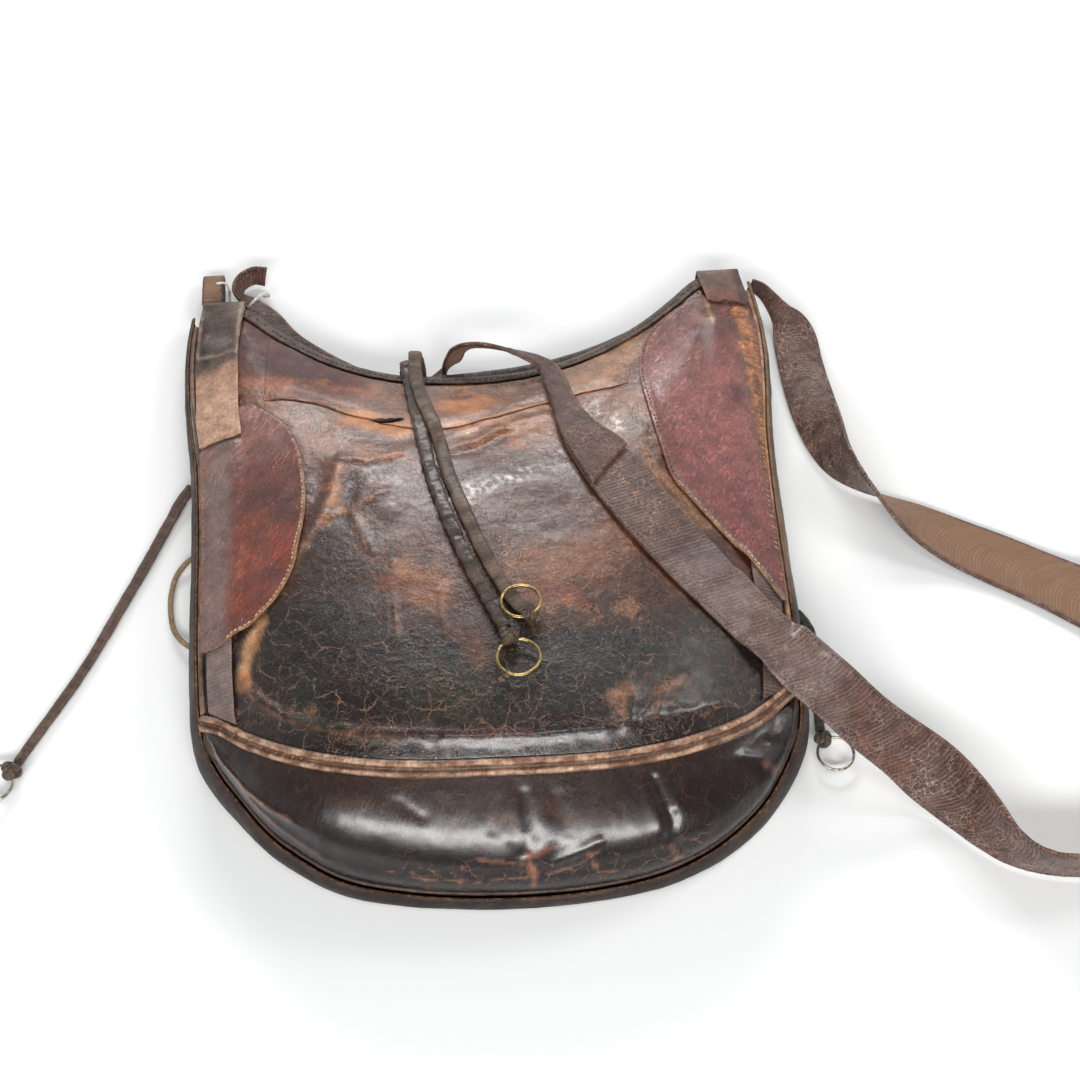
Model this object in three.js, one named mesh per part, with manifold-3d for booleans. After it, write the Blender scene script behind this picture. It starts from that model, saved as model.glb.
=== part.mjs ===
// A leather hunting satchel lying on its back, with its shoulder strap and its ringed thongs.
// Millimetres, +Z up, +Y towards the mouth. The back rests on z = 0 and the origin is on it.

import * as THREE from "three";
import Module from "manifold-3d";

const wasm = await Module();
wasm.setup();

// rows of numbers as objects with named columns
const table = (names, rows) => rows.map((row) => (
  Object.fromEntries(names.map((name, i) => [name, row[i]]))
));

// ---- driving dimensions ----

const hide = 2; // body leather
const thin = 1.3; // wings, facing, bindings and corner tabs
const strapLeather = 2.4;
const seat = 0.6; // clearance between layers that lie on each other
const weltRadius = 1.8;
const edgeGap = weltRadius + 0.45; // from the middle of a welt to the panel beside it

// the front's mouth edge: its lowest point, where the shoulders begin, how round their corners are
const mouth = { middle: 113, half: 137, round: 0.15 };
const shoulders = { left: { y: 178.5, power: 2.5 }, right: { y: 183, power: 2.2 } };
const overhang = { most: 13, x: 25, half: 105 }; // the back's mouth edge passes the front's
const backRise = { start: 40, end: 120, height: 7 }; // the back lifts off the floor at the mouth
const gussetFlare = 0.16; // how far its foot lies outside the seam, per height of the seam
const gussetSwell = 0.2; // how far it swells, per depth
const bandSwell = 0.72; // how far the bottom band swells

const piping = { middle: -151, rise: 49, tilt: -0.02, reach: 149, power: 3, end: 140, half: 4.4 };
const pipingGap = piping.half - 0.2; // from the middle of the piping to the leather beside it
const bindingReach = 6; // how far a binding covers the leather inside it
const sideStrap = { inner: 0.88, outer: 0.972, thick: 1.6 }; // inner and outer as parts of half
const slit = { x: -52, y: 72, length: 17, width: 3 };
const wireGap = 0.4; // round a ring where it runs through its knot

// the front from the shoulders down: half its width, the height of its side edge
const outline = table(["y", "half", "edge"], [
  [184, 164, 17],
  [147, 167, 18],
  [113, 165, 20.5],
  [96, 163, 22],
  [65, 158.5, 25],
  [15, 154.5, 30],
  [-25, 153, 32.5],
  [-60, 151.5, 34.5],
  [-103, 148, 35.5],
  [-125, 143, 33],
  [-139, 138, 30],
  [-156, 131, 26],
]);
// the height of its middle from the mouth down
const crest = table(["y", "crown"], [
  [125, 16],
  [113, 22],
  [96, 30.5],
  [65, 43.5],
  [15, 58],
  [-25, 66],
  [-60, 71],
  [-103, 75.5],
  [-125, 76],
  [-139, 74],
  [-156, 65],
]);
const sideEnd = -103; // where the side seams end and the bottom seam begins

// the seam under the bottom band, from left to right
const bottomSeam = table(["x", "y", "z"], [
  [-146, -113.5, 31.5],
  [-139, -127, 27.5],
  [-132, -136.5, 24.5],
  [-117, -155, 20],
  [-106, -164.5, 18],
  [-82, -179.5, 15],
  [-48, -188, 13],
  [-10, -192, 12],
  [30, -192.5, 12.3],
  [66, -188.5, 13],
  [88, -182, 14.5],
  [106, -173, 17],
  [124, -159, 21],
  [133, -148, 24],
  [144, -129, 28.5],
  [147.5, -117, 31.5],
]);

// inner edges of the two wings, from the top down
const leftWingEdge = table(["y", "x"], [
  [92, -128],
  [76, -108],
  [55, -99],
  [30, -97],
  [5, -100],
  [-20, -110],
  [-42, -126],
  [-58, -143],
]);
const rightWingEdge = table(["y", "x"], [
  [164, 136],
  [146, 116],
  [120, 97],
  [95, 91],
  [65, 93],
  [35, 102],
  [0, 119],
  [-28, 134],
  [-52, 146],
]);
const wings = [
  { name: "wing_left", sign: -1, edge: leftWingEdge, from: 92, to: -58 },
  { name: "wing_right", sign: 1, edge: rightWingEdge, from: 164, to: -50 },
];

// lower edge of the facing that runs along the mouth between the wings
const facingEdge = table(["x", "y"], [
  [-128, 95],
  [-100, 92],
  [-72, 78],
  [-30, 62],
  [0, 68],
  [40, 81],
  [88, 92],
]);

// straps sewn down both sides of the front, the left one from under its wing
const sideStraps = [
  { name: "side_strap_left", sign: -1, from: 62 },
  { name: "side_strap_right", sign: 1, from: 140 },
];

// corner tabs: how high they lie off the front, from their ends up to the mouth
const tabSpan = { inner: 0.83, outer: 0.972 }; // as parts of half
const tabUnder = 18; // how far they reach back under the bag
const leftTabLift = table(["y", "lift"], [
  [70, 2.9],
  [92, 2.9],
  [106, 1],
  [154, 1],
  [168, 2.6],
  [180, 2.6],
]);
const rightTabLift = table(["y", "lift"], [
  [158, 2.8],
  [184, 2.6],
]);

// The shoulder strap from its tied end to the right corner. z is the height over the floor, or over
// the bag where rest is 1; roll turns the strap about its run and is 0 with the grain up.
const strapRows = table(["x", "y", "z", "roll", "width", "rest"], [
  [-127, 215.5, 6.2, 65, 13, 0],
  [-135, 216.5, 6.6, 78, 13, 0],
  [-143, 211, 6.8, 88, 13, 0],
  [-144.5, 202, 6.8, 85, 13, 0],
  [-137, 194.5, 6.2, 62, 13, 0],
  [-125, 184, 3, 25, 13, 0],
  [-108, 163, 0.35, 0, 13, 0],
  [-74, 137, 0.35, 0, 13, 0],
  [-42, 122.5, 0.35, 0, 13, 0],
  [-30, 125, 0.35, 0, 13, 0],
  [-22.5, 130.5, 1, 6, 13, 0],
  [-18, 134.5, 5, 30, 13, 0],
  [-15.5, 133.8, 12.5, 52, 13, 0],
  [-13.8, 130, 20.5, 58, 13, 0],
  [-11.5, 129, 27.5, 58, 13, 0],
  [-6, 128.3, 32.5, 58, 13, 0],
  [3, 126, 35.3, 58, 13, 0],
  [15, 121.5, 36.3, 54, 13, 0],
  [26, 117.2, 35, 42, 13, 0],
  [34, 114, 32.8, 26, 12.5, 0],
  [40, 108, 3.5, 10, 12.5, 1],
  [43, 94, 3.4, 0, 13, 1],
  [46.5, 72, 3.4, 0, 15, 1],
  [53, 49, 3.4, 0, 22.5, 1],
  [66, 22, 3.4, 0, 32, 1],
  [84, -12, 0.6, 0, 35, 1],
  [103, -41, 0.6, 0, 34.5, 1],
  [121, -63, 0.6, 0, 34, 1],
  [136, -79, 1.7, 0, 34, 1],
  [151, -94, 43.5, 0, 34, 0],
  [167, -108, 36.5, 0, 34, 0],
  [184, -122, 26, 0, 34, 0],
  [203, -136, 17.5, -6, 34, 0],
  [218.5, -150, 13, -36, 34, 0],
  [229, -164, 14.5, -56, 34, 0],
  [237.5, -177.5, 16.6, -72, 34, 0],
  [246, -189, 17.4, -88, 34, 0],
  [259, -197, 17.5, -96, 34, 0],
  [279, -200, 17.4, -93, 34, 0],
  [301, -198, 17.4, -90, 34, 0],
  [323, -190, 17.4, -90, 34, 0],
  [343, -174, 17.4, -90, 34, 0],
  [356, -152, 17.4, -90, 34, 0],
  [361, -127, 17.4, -92, 34, 0],
  [358, -103, 17.4, -100, 34, 0],
  [349, -82, 16.5, -118, 34, 0],
  [336, -63, 12.5, -142, 34, 0],
  [319, -46, 6.3, -168, 34, 0],
  [300, -31, 3.4, -178, 34, 0],
  [280, -18, 3, -180, 34, 0],
  [258, -5, 4.6, -186, 33, 0],
  [237, 9, 8.8, -203, 31, 0],
  [219, 23.5, 14, -238, 29, 0],
  [206, 40, 15, -272, 28, 0],
  [199.5, 56, 12.5, -300, 28, 0],
  [195.6, 80, 7.5, -325, 27.5, 0],
  [193.6, 104, 3.6, -343, 27, 0],
  [192.6, 125, 2.2, -352, 26.5, 0],
  [192.2, 144, 2.4, -352, 26, 0],
  [190, 155, 4.6, -344, 21, 0],
  [185.4, 162.5, 7.6, -325, 13.5, 0],
  [180.8, 172, 9, -310, 10.5, 0],
  [176.6, 179.5, 9.4, -294, 10, 0],
  [170.5, 184.2, 9.6, -275, 10, 0],
]);
const joint = 24; // the row where the narrow end is sewn on the wide strap
const lap = 1; // rows that the wide strap runs on under the narrow end
const lapWidth = 29;

// the folded stub of strap behind the left shoulder, seen from the side
const stub = { x: -159, half: 6.5, leather: 2 };
const stubRows = table(["y", "z"], [
  [168, 0.35],
  [190, 0.35],
  [209, 0.9],
  [216.5, 3.4],
  [217.5, 6.6],
  [213, 9],
  [203, 9.4],
  [193.5, 8.6],
]);

// the white string that ties the strap's end to the stub
const stringRadius = 0.8;
const stringRows = table(["x", "y", "z"], [
  [-156, 206, 12.4],
  [-151.5, 208, 10],
  [-149.8, 207, 4],
  [-149.6, 200, 1.2],
  [-145, 191.6, 2.2],
  [-139, 187.2, 8],
  [-132, 189, 15],
  [-126.5, 194, 15],
  [-125, 199, 6],
  [-129, 203, 1.4],
]);

// The front thongs: first their ends inside the bag, then what lies on the front, where the last
// column is the lift off the leather under it.
const frontThongs = [
  {
    name: "front_thong_left", width: 8, thick: 3.8,
    inside: table(["x", "y", "z"], [
      [-42.6, 116.5, 12.2],
      [-42.4, 121.8, 14.6],
      [-42.1, 125.6, 18.8],
      [-41.7, 126, 24],
      [-41.2, 122.4, 28.4],
    ]),
    over: table(["x", "y", "lift"], [
      [-40.4, 114.5, 3],
      [-39.2, 104, 1.2],
      [-37.8, 90, 0.9],
      [-35.2, 68, 0.8],
      [-32.2, 46, 0.8],
      [-29, 26, 0.8],
      [-24.6, 5, 0.8],
      [-19.4, -15, 0.8],
      [-14.2, -33, 0.8],
      [-8.4, -49.5, 0.8],
      [-2.4, -65, 0.9],
      [3.8, -81.4, 1.2],
    ]),
  },
  {
    name: "front_thong_right", width: 8, thick: 3,
    inside: table(["x", "y", "z"], [
      [-34.1, 115, 11.8],
      [-33.9, 120.4, 14],
      [-33.6, 124.3, 18],
      [-33.2, 124.8, 23.2],
      [-32.7, 121.3, 27.6],
    ]),
    over: table(["x", "y", "lift"], [
      [-31.9, 113.5, 2.8],
      [-30.8, 103, 1.2],
      [-29.4, 90, 0.9],
      [-26.8, 68, 0.8],
      [-23.8, 46, 0.8],
      [-20.2, 25.5, 0.8],
      [-14.9, 4, 0.8],
      [-9.2, -16, 0.8],
      [-3.8, -33.5, 0.8],
      [2.4, -50, 0.9],
      [8, -62.5, 0.9],
      [13.6, -72, 1.2],
    ]),
  },
];
// the thongs on the floor, each from under the side of the bag
const floorThongs = [
  {
    name: "left_thong", width: 6.6, thick: 3.4,
    route: table(["x", "y", "z"], [
      [-167, 61, 4.4],
      [-172.5, 53, 3.4],
      [-176.4, 44.5, 2.7],
      [-180.6, 35.5, 2.3],
      [-188, 17.9, 2.2],
      [-195.8, 0.4, 2.2],
      [-203.6, -16.6, 2.2],
      [-211.2, -33.4, 2.2],
      [-219.2, -49.7, 2.2],
      [-228, -65.6, 2.2],
      [-237.2, -81, 2.2],
      [-243, -91, 2.4],
      [-249, -102, 3],
    ]),
  },
  {
    name: "left_lace", width: 3, thick: 2.4,
    route: table(["x", "y", "z"], [
      [-162.9, 15, 4.6],
      [-167.8, 12, 3.2],
      [-173, 5, 1.8],
      [-175.4, -5, 1.6],
      [-175.4, -17, 1.6],
      [-173, -29, 1.8],
      [-167.8, -37.5, 3.2],
      [-161.8, -43, 4.8],
    ]),
  },
  {
    name: "right_thong", width: 6, thick: 3,
    route: table(["x", "y", "z"], [
      [162.8, -45, 5],
      [167.2, -52, 3.6],
      [169.6, -64, 2.4],
      [169.4, -80, 2],
      [167.4, -95, 2],
      [165, -108, 2.4],
      [164.6, -114, 2.8],
    ]),
  },
];

// knots and the rings that run through them; those with a lift lie on the front, the others on
// the floor
const knots = [
  { name: "front_knot_left", x: 5.4, y: -88.2, lift: 4.6, size: [6.2, 5.8, 4], turn: -0.5 },
  { name: "front_knot_right", x: 16.4, y: -76.4, lift: 4.4, size: [5.4, 4.8, 3.6], turn: 0.4 },
  { name: "left_knot", x: -251.4, y: -107, z: 4.7, size: [6.4, 5.8, 4.2], turn: -0.5 },
  { name: "right_knot", x: 165, y: -119.6, z: 4.3, size: [5.6, 5.2, 3.8], turn: 0.3 },
];
const rings = [
  { name: "front_ring_left", knot: 0, radius: 10.3, wire: 0.85, x: 9.4, y: -100.2, lift: 4 },
  { name: "front_ring_right", knot: 1, radius: 9.6, wire: 0.85, x: 12.6, y: -68.8, lift: 5.6 },
  { name: "left_ring", knot: 2, radius: 10.3, wire: 0.85, x: -260.3, y: -112.9, z: 4.2 },
  { name: "right_ring", knot: 3, radius: 9.2, wire: 0.75, x: 170.2, y: -127.6, z: 3.6 },
];

const finishes = {
  front: { color: 0x3a2620, roughness: 0.35 },
  red: { color: 0x5a211d, roughness: 0.4 },
  band: { color: 0x241a18, roughness: 0.25 },
  strap: { color: 0x3b2b27, roughness: 0.55 },
  thong: { color: 0x4a3c34, roughness: 0.6 },
  piping: { color: 0x8a5a38, roughness: 0.5 },
  brass: { color: 0x9c8350, roughness: 0.4, metalness: 1 },
  steel: { color: 0x77736c, roughness: 0.45, metalness: 1 },
  string: { color: 0xd8d4cc, roughness: 0.9 },
};

const part = new THREE.Group();
const vec = (x, y, z) => new THREE.Vector3(x, y, z);
const up = vec(0, 0, 1);

// ---- numbers ----

const mix = (a, b, t) => a + (b - a) * t;
const clamp01 = (t) => Math.min(Math.max(t, 0), 1);
const smooth = (t) => clamp01(t) ** 2 * (3 - 2 * clamp01(t));
const steps = (n, from = 0, to = 1) => Array.from({ length: n + 1 }, (_, i) => mix(from, to, i / n));

// a smooth function through one column of a table, keyed by another
function column(rows, key, name) {
  const sorted = [...rows].sort((a, b) => a[key] - b[key]);
  const last = sorted.length - 1;
  const slope = sorted.map((row, i) => {
    const before = sorted[Math.max(i - 1, 0)];
    const after = sorted[Math.min(i + 1, last)];
    return (after[name] - before[name]) / (after[key] - before[key]);
  });
  return (at) => {
    const found = sorted.findIndex((row) => row[key] > at);
    const i = found < 0 ? last - 1 : Math.max(found - 1, 0);
    const span = sorted[i + 1][key] - sorted[i][key];
    const rise = sorted[i + 1][name] - sorted[i][name];
    const t = clamp01((at - sorted[i][key]) / span);
    const bend = (span * slope[i] - rise) * (1 - t) + (rise - span * slope[i + 1]) * t;
    return sorted[i][name] + rise * t + bend * t * (1 - t);
  };
}

// every column of a table as a smooth function of the row number
function columns(rows) {
  const numbered = rows.map((row, i) => ({ ...row, i }));
  const names = Object.keys(rows[0]);
  const read = Object.fromEntries(names.map((name) => [name, column(numbered, "i", name)]));
  return (at) => Object.fromEntries(names.map((name) => [name, read[name](at)]));
}

// ---- solids ----

function volume(points, triangles) {
  const wedge = ([a, b, c]) => points[a].dot(points[b].clone().cross(points[c])) / 6;
  return triangles.reduce((sum, triangle) => sum + wedge(triangle), 0);
}

function add(name, geometry, finish) {
  const mesh = new THREE.Mesh(geometry, new THREE.MeshStandardMaterial(finishes[finish]));
  mesh.name = name;
  part.add(mesh);
}

// a closed geometry whose faces point out, whichever way round its triangles were listed
function closed(points, triangles) {
  const inside = volume(points, triangles) < 0;
  const geometry = new THREE.BufferGeometry();
  geometry.setAttribute("position", new THREE.Float32BufferAttribute(points.flatMap((p) => p.toArray()), 3));
  geometry.setIndex(triangles.flatMap(([a, b, c]) => (inside ? [a, c, b] : [a, b, c])));
  return geometry;
}

// a geometry cut by another
const solidOf = (geometry) => {
  const place = geometry.getAttribute("position");
  const order = geometry.index ? [...geometry.index.array] : steps(place.count - 1, 0, place.count - 1);
  const known = new Map();
  const vertProperties = [];
  const triVerts = order.map((k) => {
    const point = [place.getX(k), place.getY(k), place.getZ(k)];
    const key = point.map((value) => value.toFixed(4)).join();
    if (!known.has(key)) {
      known.set(key, known.size);
      vertProperties.push(...point);
    }
    return known.get(key);
  });
  return new wasm.Manifold(new wasm.Mesh({
    numProp: 3, vertProperties: new Float32Array(vertProperties), triVerts: new Uint32Array(triVerts),
  }));
};

function minus(geometry, cutter) {
  const mesh = solidOf(geometry).subtract(solidOf(cutter)).getMesh();
  const result = new THREE.BufferGeometry();
  result.setAttribute("position", new THREE.BufferAttribute(mesh.vertProperties, 3));
  result.setIndex(new THREE.BufferAttribute(mesh.triVerts, 1));
  return result;
}

// leather between a grid of points and the same grid moved by thick along its normals
function sheet(grid, thick) {
  const [rows, across] = [grid.length, grid[0].length];
  const at = (i, j) => grid[Math.min(Math.max(i, 0), rows - 1)][Math.min(Math.max(j, 0), across - 1)];
  const moved = grid.map((row, i) => row.map((point, j) => {
    const down = at(i + 1, j).clone().sub(at(i - 1, j));
    const over = at(i, j + 1).clone().sub(at(i, j - 1));
    return point.clone().addScaledVector(down.cross(over).normalize(), thick);
  }));
  const points = [...grid.flat(), ...moved.flat()];
  const size = rows * across;
  const triangles = [];
  const quad = (a, b, c, d) => triangles.push([a, b, c], [a, c, d]);
  const id = (i, j) => i * across + j;
  for (let i = 0; i < rows - 1; i++) {
    for (let j = 0; j < across - 1; j++) {
      const corners = [id(i, j), id(i, j + 1), id(i + 1, j + 1), id(i + 1, j)];
      quad(...corners);
      quad(...corners.map((k) => k + size).reverse());
    }
    quad(id(i, 0) + size, id(i, 0), id(i + 1, 0), id(i + 1, 0) + size);
    quad(id(i, across - 1), id(i, across - 1) + size, id(i + 1, across - 1) + size, id(i + 1, across - 1));
  }
  for (let j = 0; j < across - 1; j++) {
    quad(id(0, j), id(0, j) + size, id(0, j + 1) + size, id(0, j + 1));
    quad(id(rows - 1, j) + size, id(rows - 1, j), id(rows - 1, j + 1), id(rows - 1, j + 1) + size);
  }
  return closed(points, triangles);
}

// an outline of [side, up] pairs carried along a path; each stop has its point, side and up
function sweep(stops, outline) {
  const points = stops.flatMap(({ point, side, top, scale = 1 }) => outline.map(([s, t]) =>
    point.clone().addScaledVector(side, s * scale).addScaledVector(top, t * scale)));
  const count = outline.length;
  const triangles = [];
  for (let i = 0; i < stops.length - 1; i++) {
    for (let k = 0; k < count; k++) {
      const [a, b] = [i * count + k, i * count + ((k + 1) % count)];
      triangles.push([a, b, b + count], [a, b + count, a + count]);
    }
  }
  const flat = outline.map(([s, t]) => new THREE.Vector2(s, t));
  const area = (corners) => THREE.ShapeUtils.area(corners.map((k) => flat[k]));
  const whole = area(outline.map((pair, k) => k));
  for (const [a, b, c] of THREE.ShapeUtils.triangulateShape(flat, [])) {
    const near = area([a, b, c]) * whole > 0 ? [a, c, b] : [a, b, c];
    const far = [...near].reverse().map((k) => k + (stops.length - 1) * count);
    triangles.push(near, far);
  }
  return closed(points, triangles);
}

// stops along a list of points, with top kept as near as can be to the given direction
function stopsAlong(points, topAt = () => up) {
  return points.map((point, i) => {
    const ahead = points[Math.min(i + 1, points.length - 1)];
    const behind = points[Math.max(i - 1, 0)];
    const run = ahead.clone().sub(behind).normalize();
    const side = run.clone().cross(topAt(i)).normalize();
    return { point, side, top: side.clone().cross(run) };
  });
}

const oval = (width, thick, sides = 8) => steps(sides - 1, 0, 2 * Math.PI * (1 - 1 / sides))
  .map((angle) => [Math.cos(angle) * width / 2, Math.sin(angle) * thick / 2]);

const curveThrough = (points) => new THREE.CatmullRomCurve3(points, false, "centripetal");
const vecs = (rows) => rows.map(({ x, y, z }) => vec(x, y, z));

// ---- the form of the bag ----

const half = column(outline, "y", "half");
const edge = column(outline, "y", "edge");
const crown = column(crest, "y", "crown");
const mouthReach = half(shoulders.right.y) - edgeGap;

// the mouth dips in the middle and turns through a rounded corner into each flat shoulder
function mouthY(x) {
  const shoulder = x < 0 ? shoulders.left : shoulders.right;
  const rise = (Math.abs(x) / mouth.half) ** shoulder.power;
  const turn = clamp01(0.5 + 0.5 * (1 - rise) / mouth.round);
  const part = mix(1, rise, turn) - mouth.round * turn * (1 - turn);
  return mix(mouth.middle, shoulder.y, part);
}

// near the mouth the rise follows the mouth's curve, further down it runs straight across
function height(x, y) {
  const across = clamp01(Math.abs(x) / half(y));
  const follow = smooth((y + 60) / 170);
  return mix(crown(y - follow * (mouthY(x) - mouth.middle)), edge(y), across ** 2.8);
}

// a point lift above the front, square to it
function onFront(x, y, lift = 0) {
  const slopeX = (height(x + 1, y) - height(x - 1, y)) / 2;
  const slopeY = (height(x, y + 1) - height(x, y - 1)) / 2;
  return vec(x, y, height(x, y)).addScaledVector(vec(-slopeX, -slopeY, 1).normalize(), lift);
}

const backHeight = (y) => backRise.height * smooth((y - backRise.start) / (backRise.end - backRise.start));
const backMouthY = (x) => mouthY(x) + 1
  + overhang.most * Math.max(1 - ((x - overhang.x) / overhang.half) ** 2, 0);
const pipingY = (x) => piping.middle + piping.tilt * x
  + piping.rise * (Math.abs(x) / piping.reach) ** piping.power;

// the seam round the front, from the left shoulder round the bottom to the right shoulder
const sideSeam = (sign, top) => steps(12, top, sideEnd).map((y) => vec(sign * half(y), y, edge(y)));
const seam = curveThrough([
  ...sideSeam(-1, shoulders.left.y), ...vecs(bottomSeam), ...sideSeam(1, shoulders.right.y).reverse(),
]);
seam.arcLengthDivisions = 600;

// where the seam passes the end of a side, searched from a shoulder to the middle of the bottom
function sideEndFrom(shoulderEnd) {
  let [above, below] = [shoulderEnd, 0.5];
  for (let i = 0; i < 30; i++) {
    const between = (above + below) / 2;
    if (seam.getPointAt(between).y > sideEnd) above = between;
    else below = between;
  }
  return above;
}

const [seamStart, seamEnd] = [0.003, 0.997];
const [bottomStart, bottomEnd] = [sideEndFrom(0), sideEndFrom(1)];
const leftStations = steps(12, seamStart, bottomStart);
const bottomStations = steps(30, bottomStart, bottomEnd);
const rightStations = steps(12, bottomEnd, seamEnd);
const outward = (u) => {
  const run = seam.getTangentAt(u);
  return vec(run.y, -run.x, 0).normalize();
};

// ---- body panels ----

function slitCutter() {
  const box = new THREE.BoxGeometry(slit.length, slit.width, 60);
  return box.translate(slit.x, slit.y, height(slit.x, slit.y));
}

add("front_panel", minus(sheet(steps(20).map((t) => steps(24, -1, 1).map((a) => {
  const top = mouthY(a * mouthReach) - 1.4;
  const y = mix(top, pipingY(a * half(sideEnd)) + pipingGap, t);
  return onFront(a * (half(y) - edgeGap), y);
})), -hide), slitCutter()), "front");

// the back is a patch between the mouth, the two side seams and the bottom seam
const backInset = 2.6;
const backEdge = (u) => {
  const point = seam.getPointAt(u);
  return point.clone().addScaledVector(outward(u), gussetFlare * point.z - backInset).setZ(0);
};
const corner = 0.33; // where the back's sides turn into its bottom, along the seam
const leftSide = (t) => backEdge(mix(0.002, corner, t));
const rightSide = (t) => backEdge(mix(0.998, 1 - corner, t));
const bottomSide = (s) => backEdge(mix(corner, 1 - corner, s));
const topSide = (s) => {
  const x = mix(leftSide(0).x, rightSide(0).x, s);
  return vec(x, backMouthY(x), 0);
};
add("back_panel", sheet(steps(12).map((t) => steps(14).map((s) => {
  const between = topSide(s).lerp(bottomSide(s), t).add(leftSide(t).lerp(rightSide(t), s));
  const corners = topSide(0).lerp(topSide(1), s).lerp(bottomSide(0).lerp(bottomSide(1), s), t);
  const point = between.sub(corners);
  return point.setZ(backHeight(point.y));
})), hide), "front");

const gussetLap = edgeGap + 0.35; // its top edge lies this far outside the seam
const gussetSink = 0.9; // and this far below it
const gussetFoot = 0.2; // its foot stops this far above the back's level
add("gusset", sheet([...leftStations, ...bottomStations.slice(1, -1), ...rightStations].map((u) => {
  const [point, out] = [seam.getPointAt(u), outward(u)];
  const top = point.clone().addScaledVector(out, gussetLap);
  top.z -= gussetSink;
  const foot = point.clone().addScaledVector(out, gussetFlare * point.z)
    .setZ(backHeight(point.y) + gussetFoot);
  const swell = gussetSwell * (top.z - foot.z);
  return steps(3).map((t) => top.clone().lerp(foot, t).addScaledVector(out, swell * 4 * t * (1 - t)));
}), hide), "band");

// the bottom band runs from the piping down to the bottom seam
const pipingLine = curveThrough(steps(40, -piping.reach, piping.reach).map((x) => onFront(x, pipingY(x))));
pipingLine.arcLengthDivisions = 400;
const bandStart = 0.05;
add("bottom_band", sheet(steps(28, bandStart, 1 - bandStart).map((k) => {
  const high = pipingLine.getPointAt(k);
  const low = seam.getPointAt(mix(bottomStart, bottomEnd, k));
  const drop = low.clone().sub(high);
  const out = pipingLine.getTangentAt(k).cross(drop).normalize().negate();
  const [from, to] = [pipingGap / drop.length(), 1 - (edgeGap + 0.3) / drop.length()];
  return steps(6, from, to).map((t) => high.clone().addScaledVector(drop, t)
    .addScaledVector(out, bandSwell * drop.length() * t * (1 - t)));
}), -hide), "band");

// ---- seams and edges ----

const weltOutline = oval(2 * weltRadius, 2 * weltRadius, 6);
const welt = (stations) => sweep(stopsAlong(stations.map((u) => seam.getPointAt(u))), weltOutline);
const weltBreak = 0.0012; // half the gap between two welts that meet
add("side_welt_left", welt(steps(12, seamStart, bottomStart - weltBreak)), "piping");
add("side_welt_right", welt(steps(12, bottomEnd + weltBreak, seamEnd)), "piping");
add("bottom_welt", welt(steps(30, bottomStart + weltBreak, bottomEnd - weltBreak)), "band");

const pipingOutline = [
  [-4.4, -0.7], [0, -1.3], [4.4, -0.7], [4.2, 0.9], [2.3, 2.4], [0, 1.4], [-2.3, 2.4], [-4.2, 0.9],
];
const pipingPoints = steps(28, -piping.end, piping.end).map((x) => onFront(x, pipingY(x)));
add("front_piping", sweep(stopsAlong(pipingPoints, () => vec(0, -0.55, 0.83)), pipingOutline), "piping");

// a strip folded round a mouth edge
const bindingOutline = [
  [-bindingReach, 1.7], [1, 1.6], [1, -1.6], [-bindingReach, -1.7],
  [-bindingReach, -2.9], [1.6, -2.8], [2.4, 0], [1.6, 2.8], [-bindingReach, 2.9],
];
const bindingSpan = steps(24, -1, 1);
add("front_binding", sweep(bindingSpan.map((a) => {
  const place = (b, lift = -hide / 2) => {
    const x = b * mouthReach;
    return onFront(x, mouthY(x), lift);
  };
  const run = place(a + 0.01).sub(place(a - 0.01)).normalize();
  const top = place(a, 1).sub(place(a, 0)).normalize();
  return { point: place(a), side: top.clone().cross(run), top };
}), bindingOutline), "band");

const backHalf = rightSide(0).x;
add("back_binding", sweep(stopsAlong(bindingSpan.map((a) => {
  const [x, y] = [a * backHalf, backMouthY(a * backHalf)];
  return vec(x, y, backHeight(y) + hide / 2);
})).map((stop) => ({ ...stop, side: stop.side.negate() })), bindingOutline), "band");

// ---- leather laid on the front ----

for (const { name, sign, from } of sideStraps) {
  const middle = (sideStrap.inner + sideStrap.outer) / 2;
  const to = pipingY(sign * middle * half(sideEnd)) + 10;
  add(name, sheet(steps(16, from, to).map((y) => steps(2, sideStrap.outer, sideStrap.inner)
    .map((a) => onFront(sign * a * half(y), y, seat))), -sign * sideStrap.thick), "strap");
}

// how far leather laid over a side strap is lifted by it
function strapRise(x, y) {
  const across = Math.abs(x) / half(y);
  const { from } = sideStraps.find(({ sign }) => sign === Math.sign(x));
  const inside = smooth((across - sideStrap.inner + 0.055) / 0.04);
  const below = smooth((from + 10 - y) / 8);
  return (sideStrap.thick + seat) * inside * below;
}

for (const { name, sign, edge: edgeRows, from, to } of wings) {
  const inner = column(edgeRows, "y", "x");
  add(name, sheet(steps(16, from, to).map((y) => steps(8).map((t) => {
    const x = mix(sign * (half(y) - edgeGap), inner(y), t);
    return onFront(x, y, seat + strapRise(x, y));
  })), -sign * thin), "red");
}

const facingLow = column(facingEdge, "x", "y");
const facingTop = (x) => mouthY(x) - bindingReach - 3.4;
const facingEnds = { left: -122, right: 84 };
add("mouth_facing", minus(sheet(steps(16, facingEnds.left, facingEnds.right).map((x) => steps(3)
  .map((t) => onFront(x, mix(facingLow(x), facingTop(x), t), seat))), thin), slitCutter()), "front");

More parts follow.
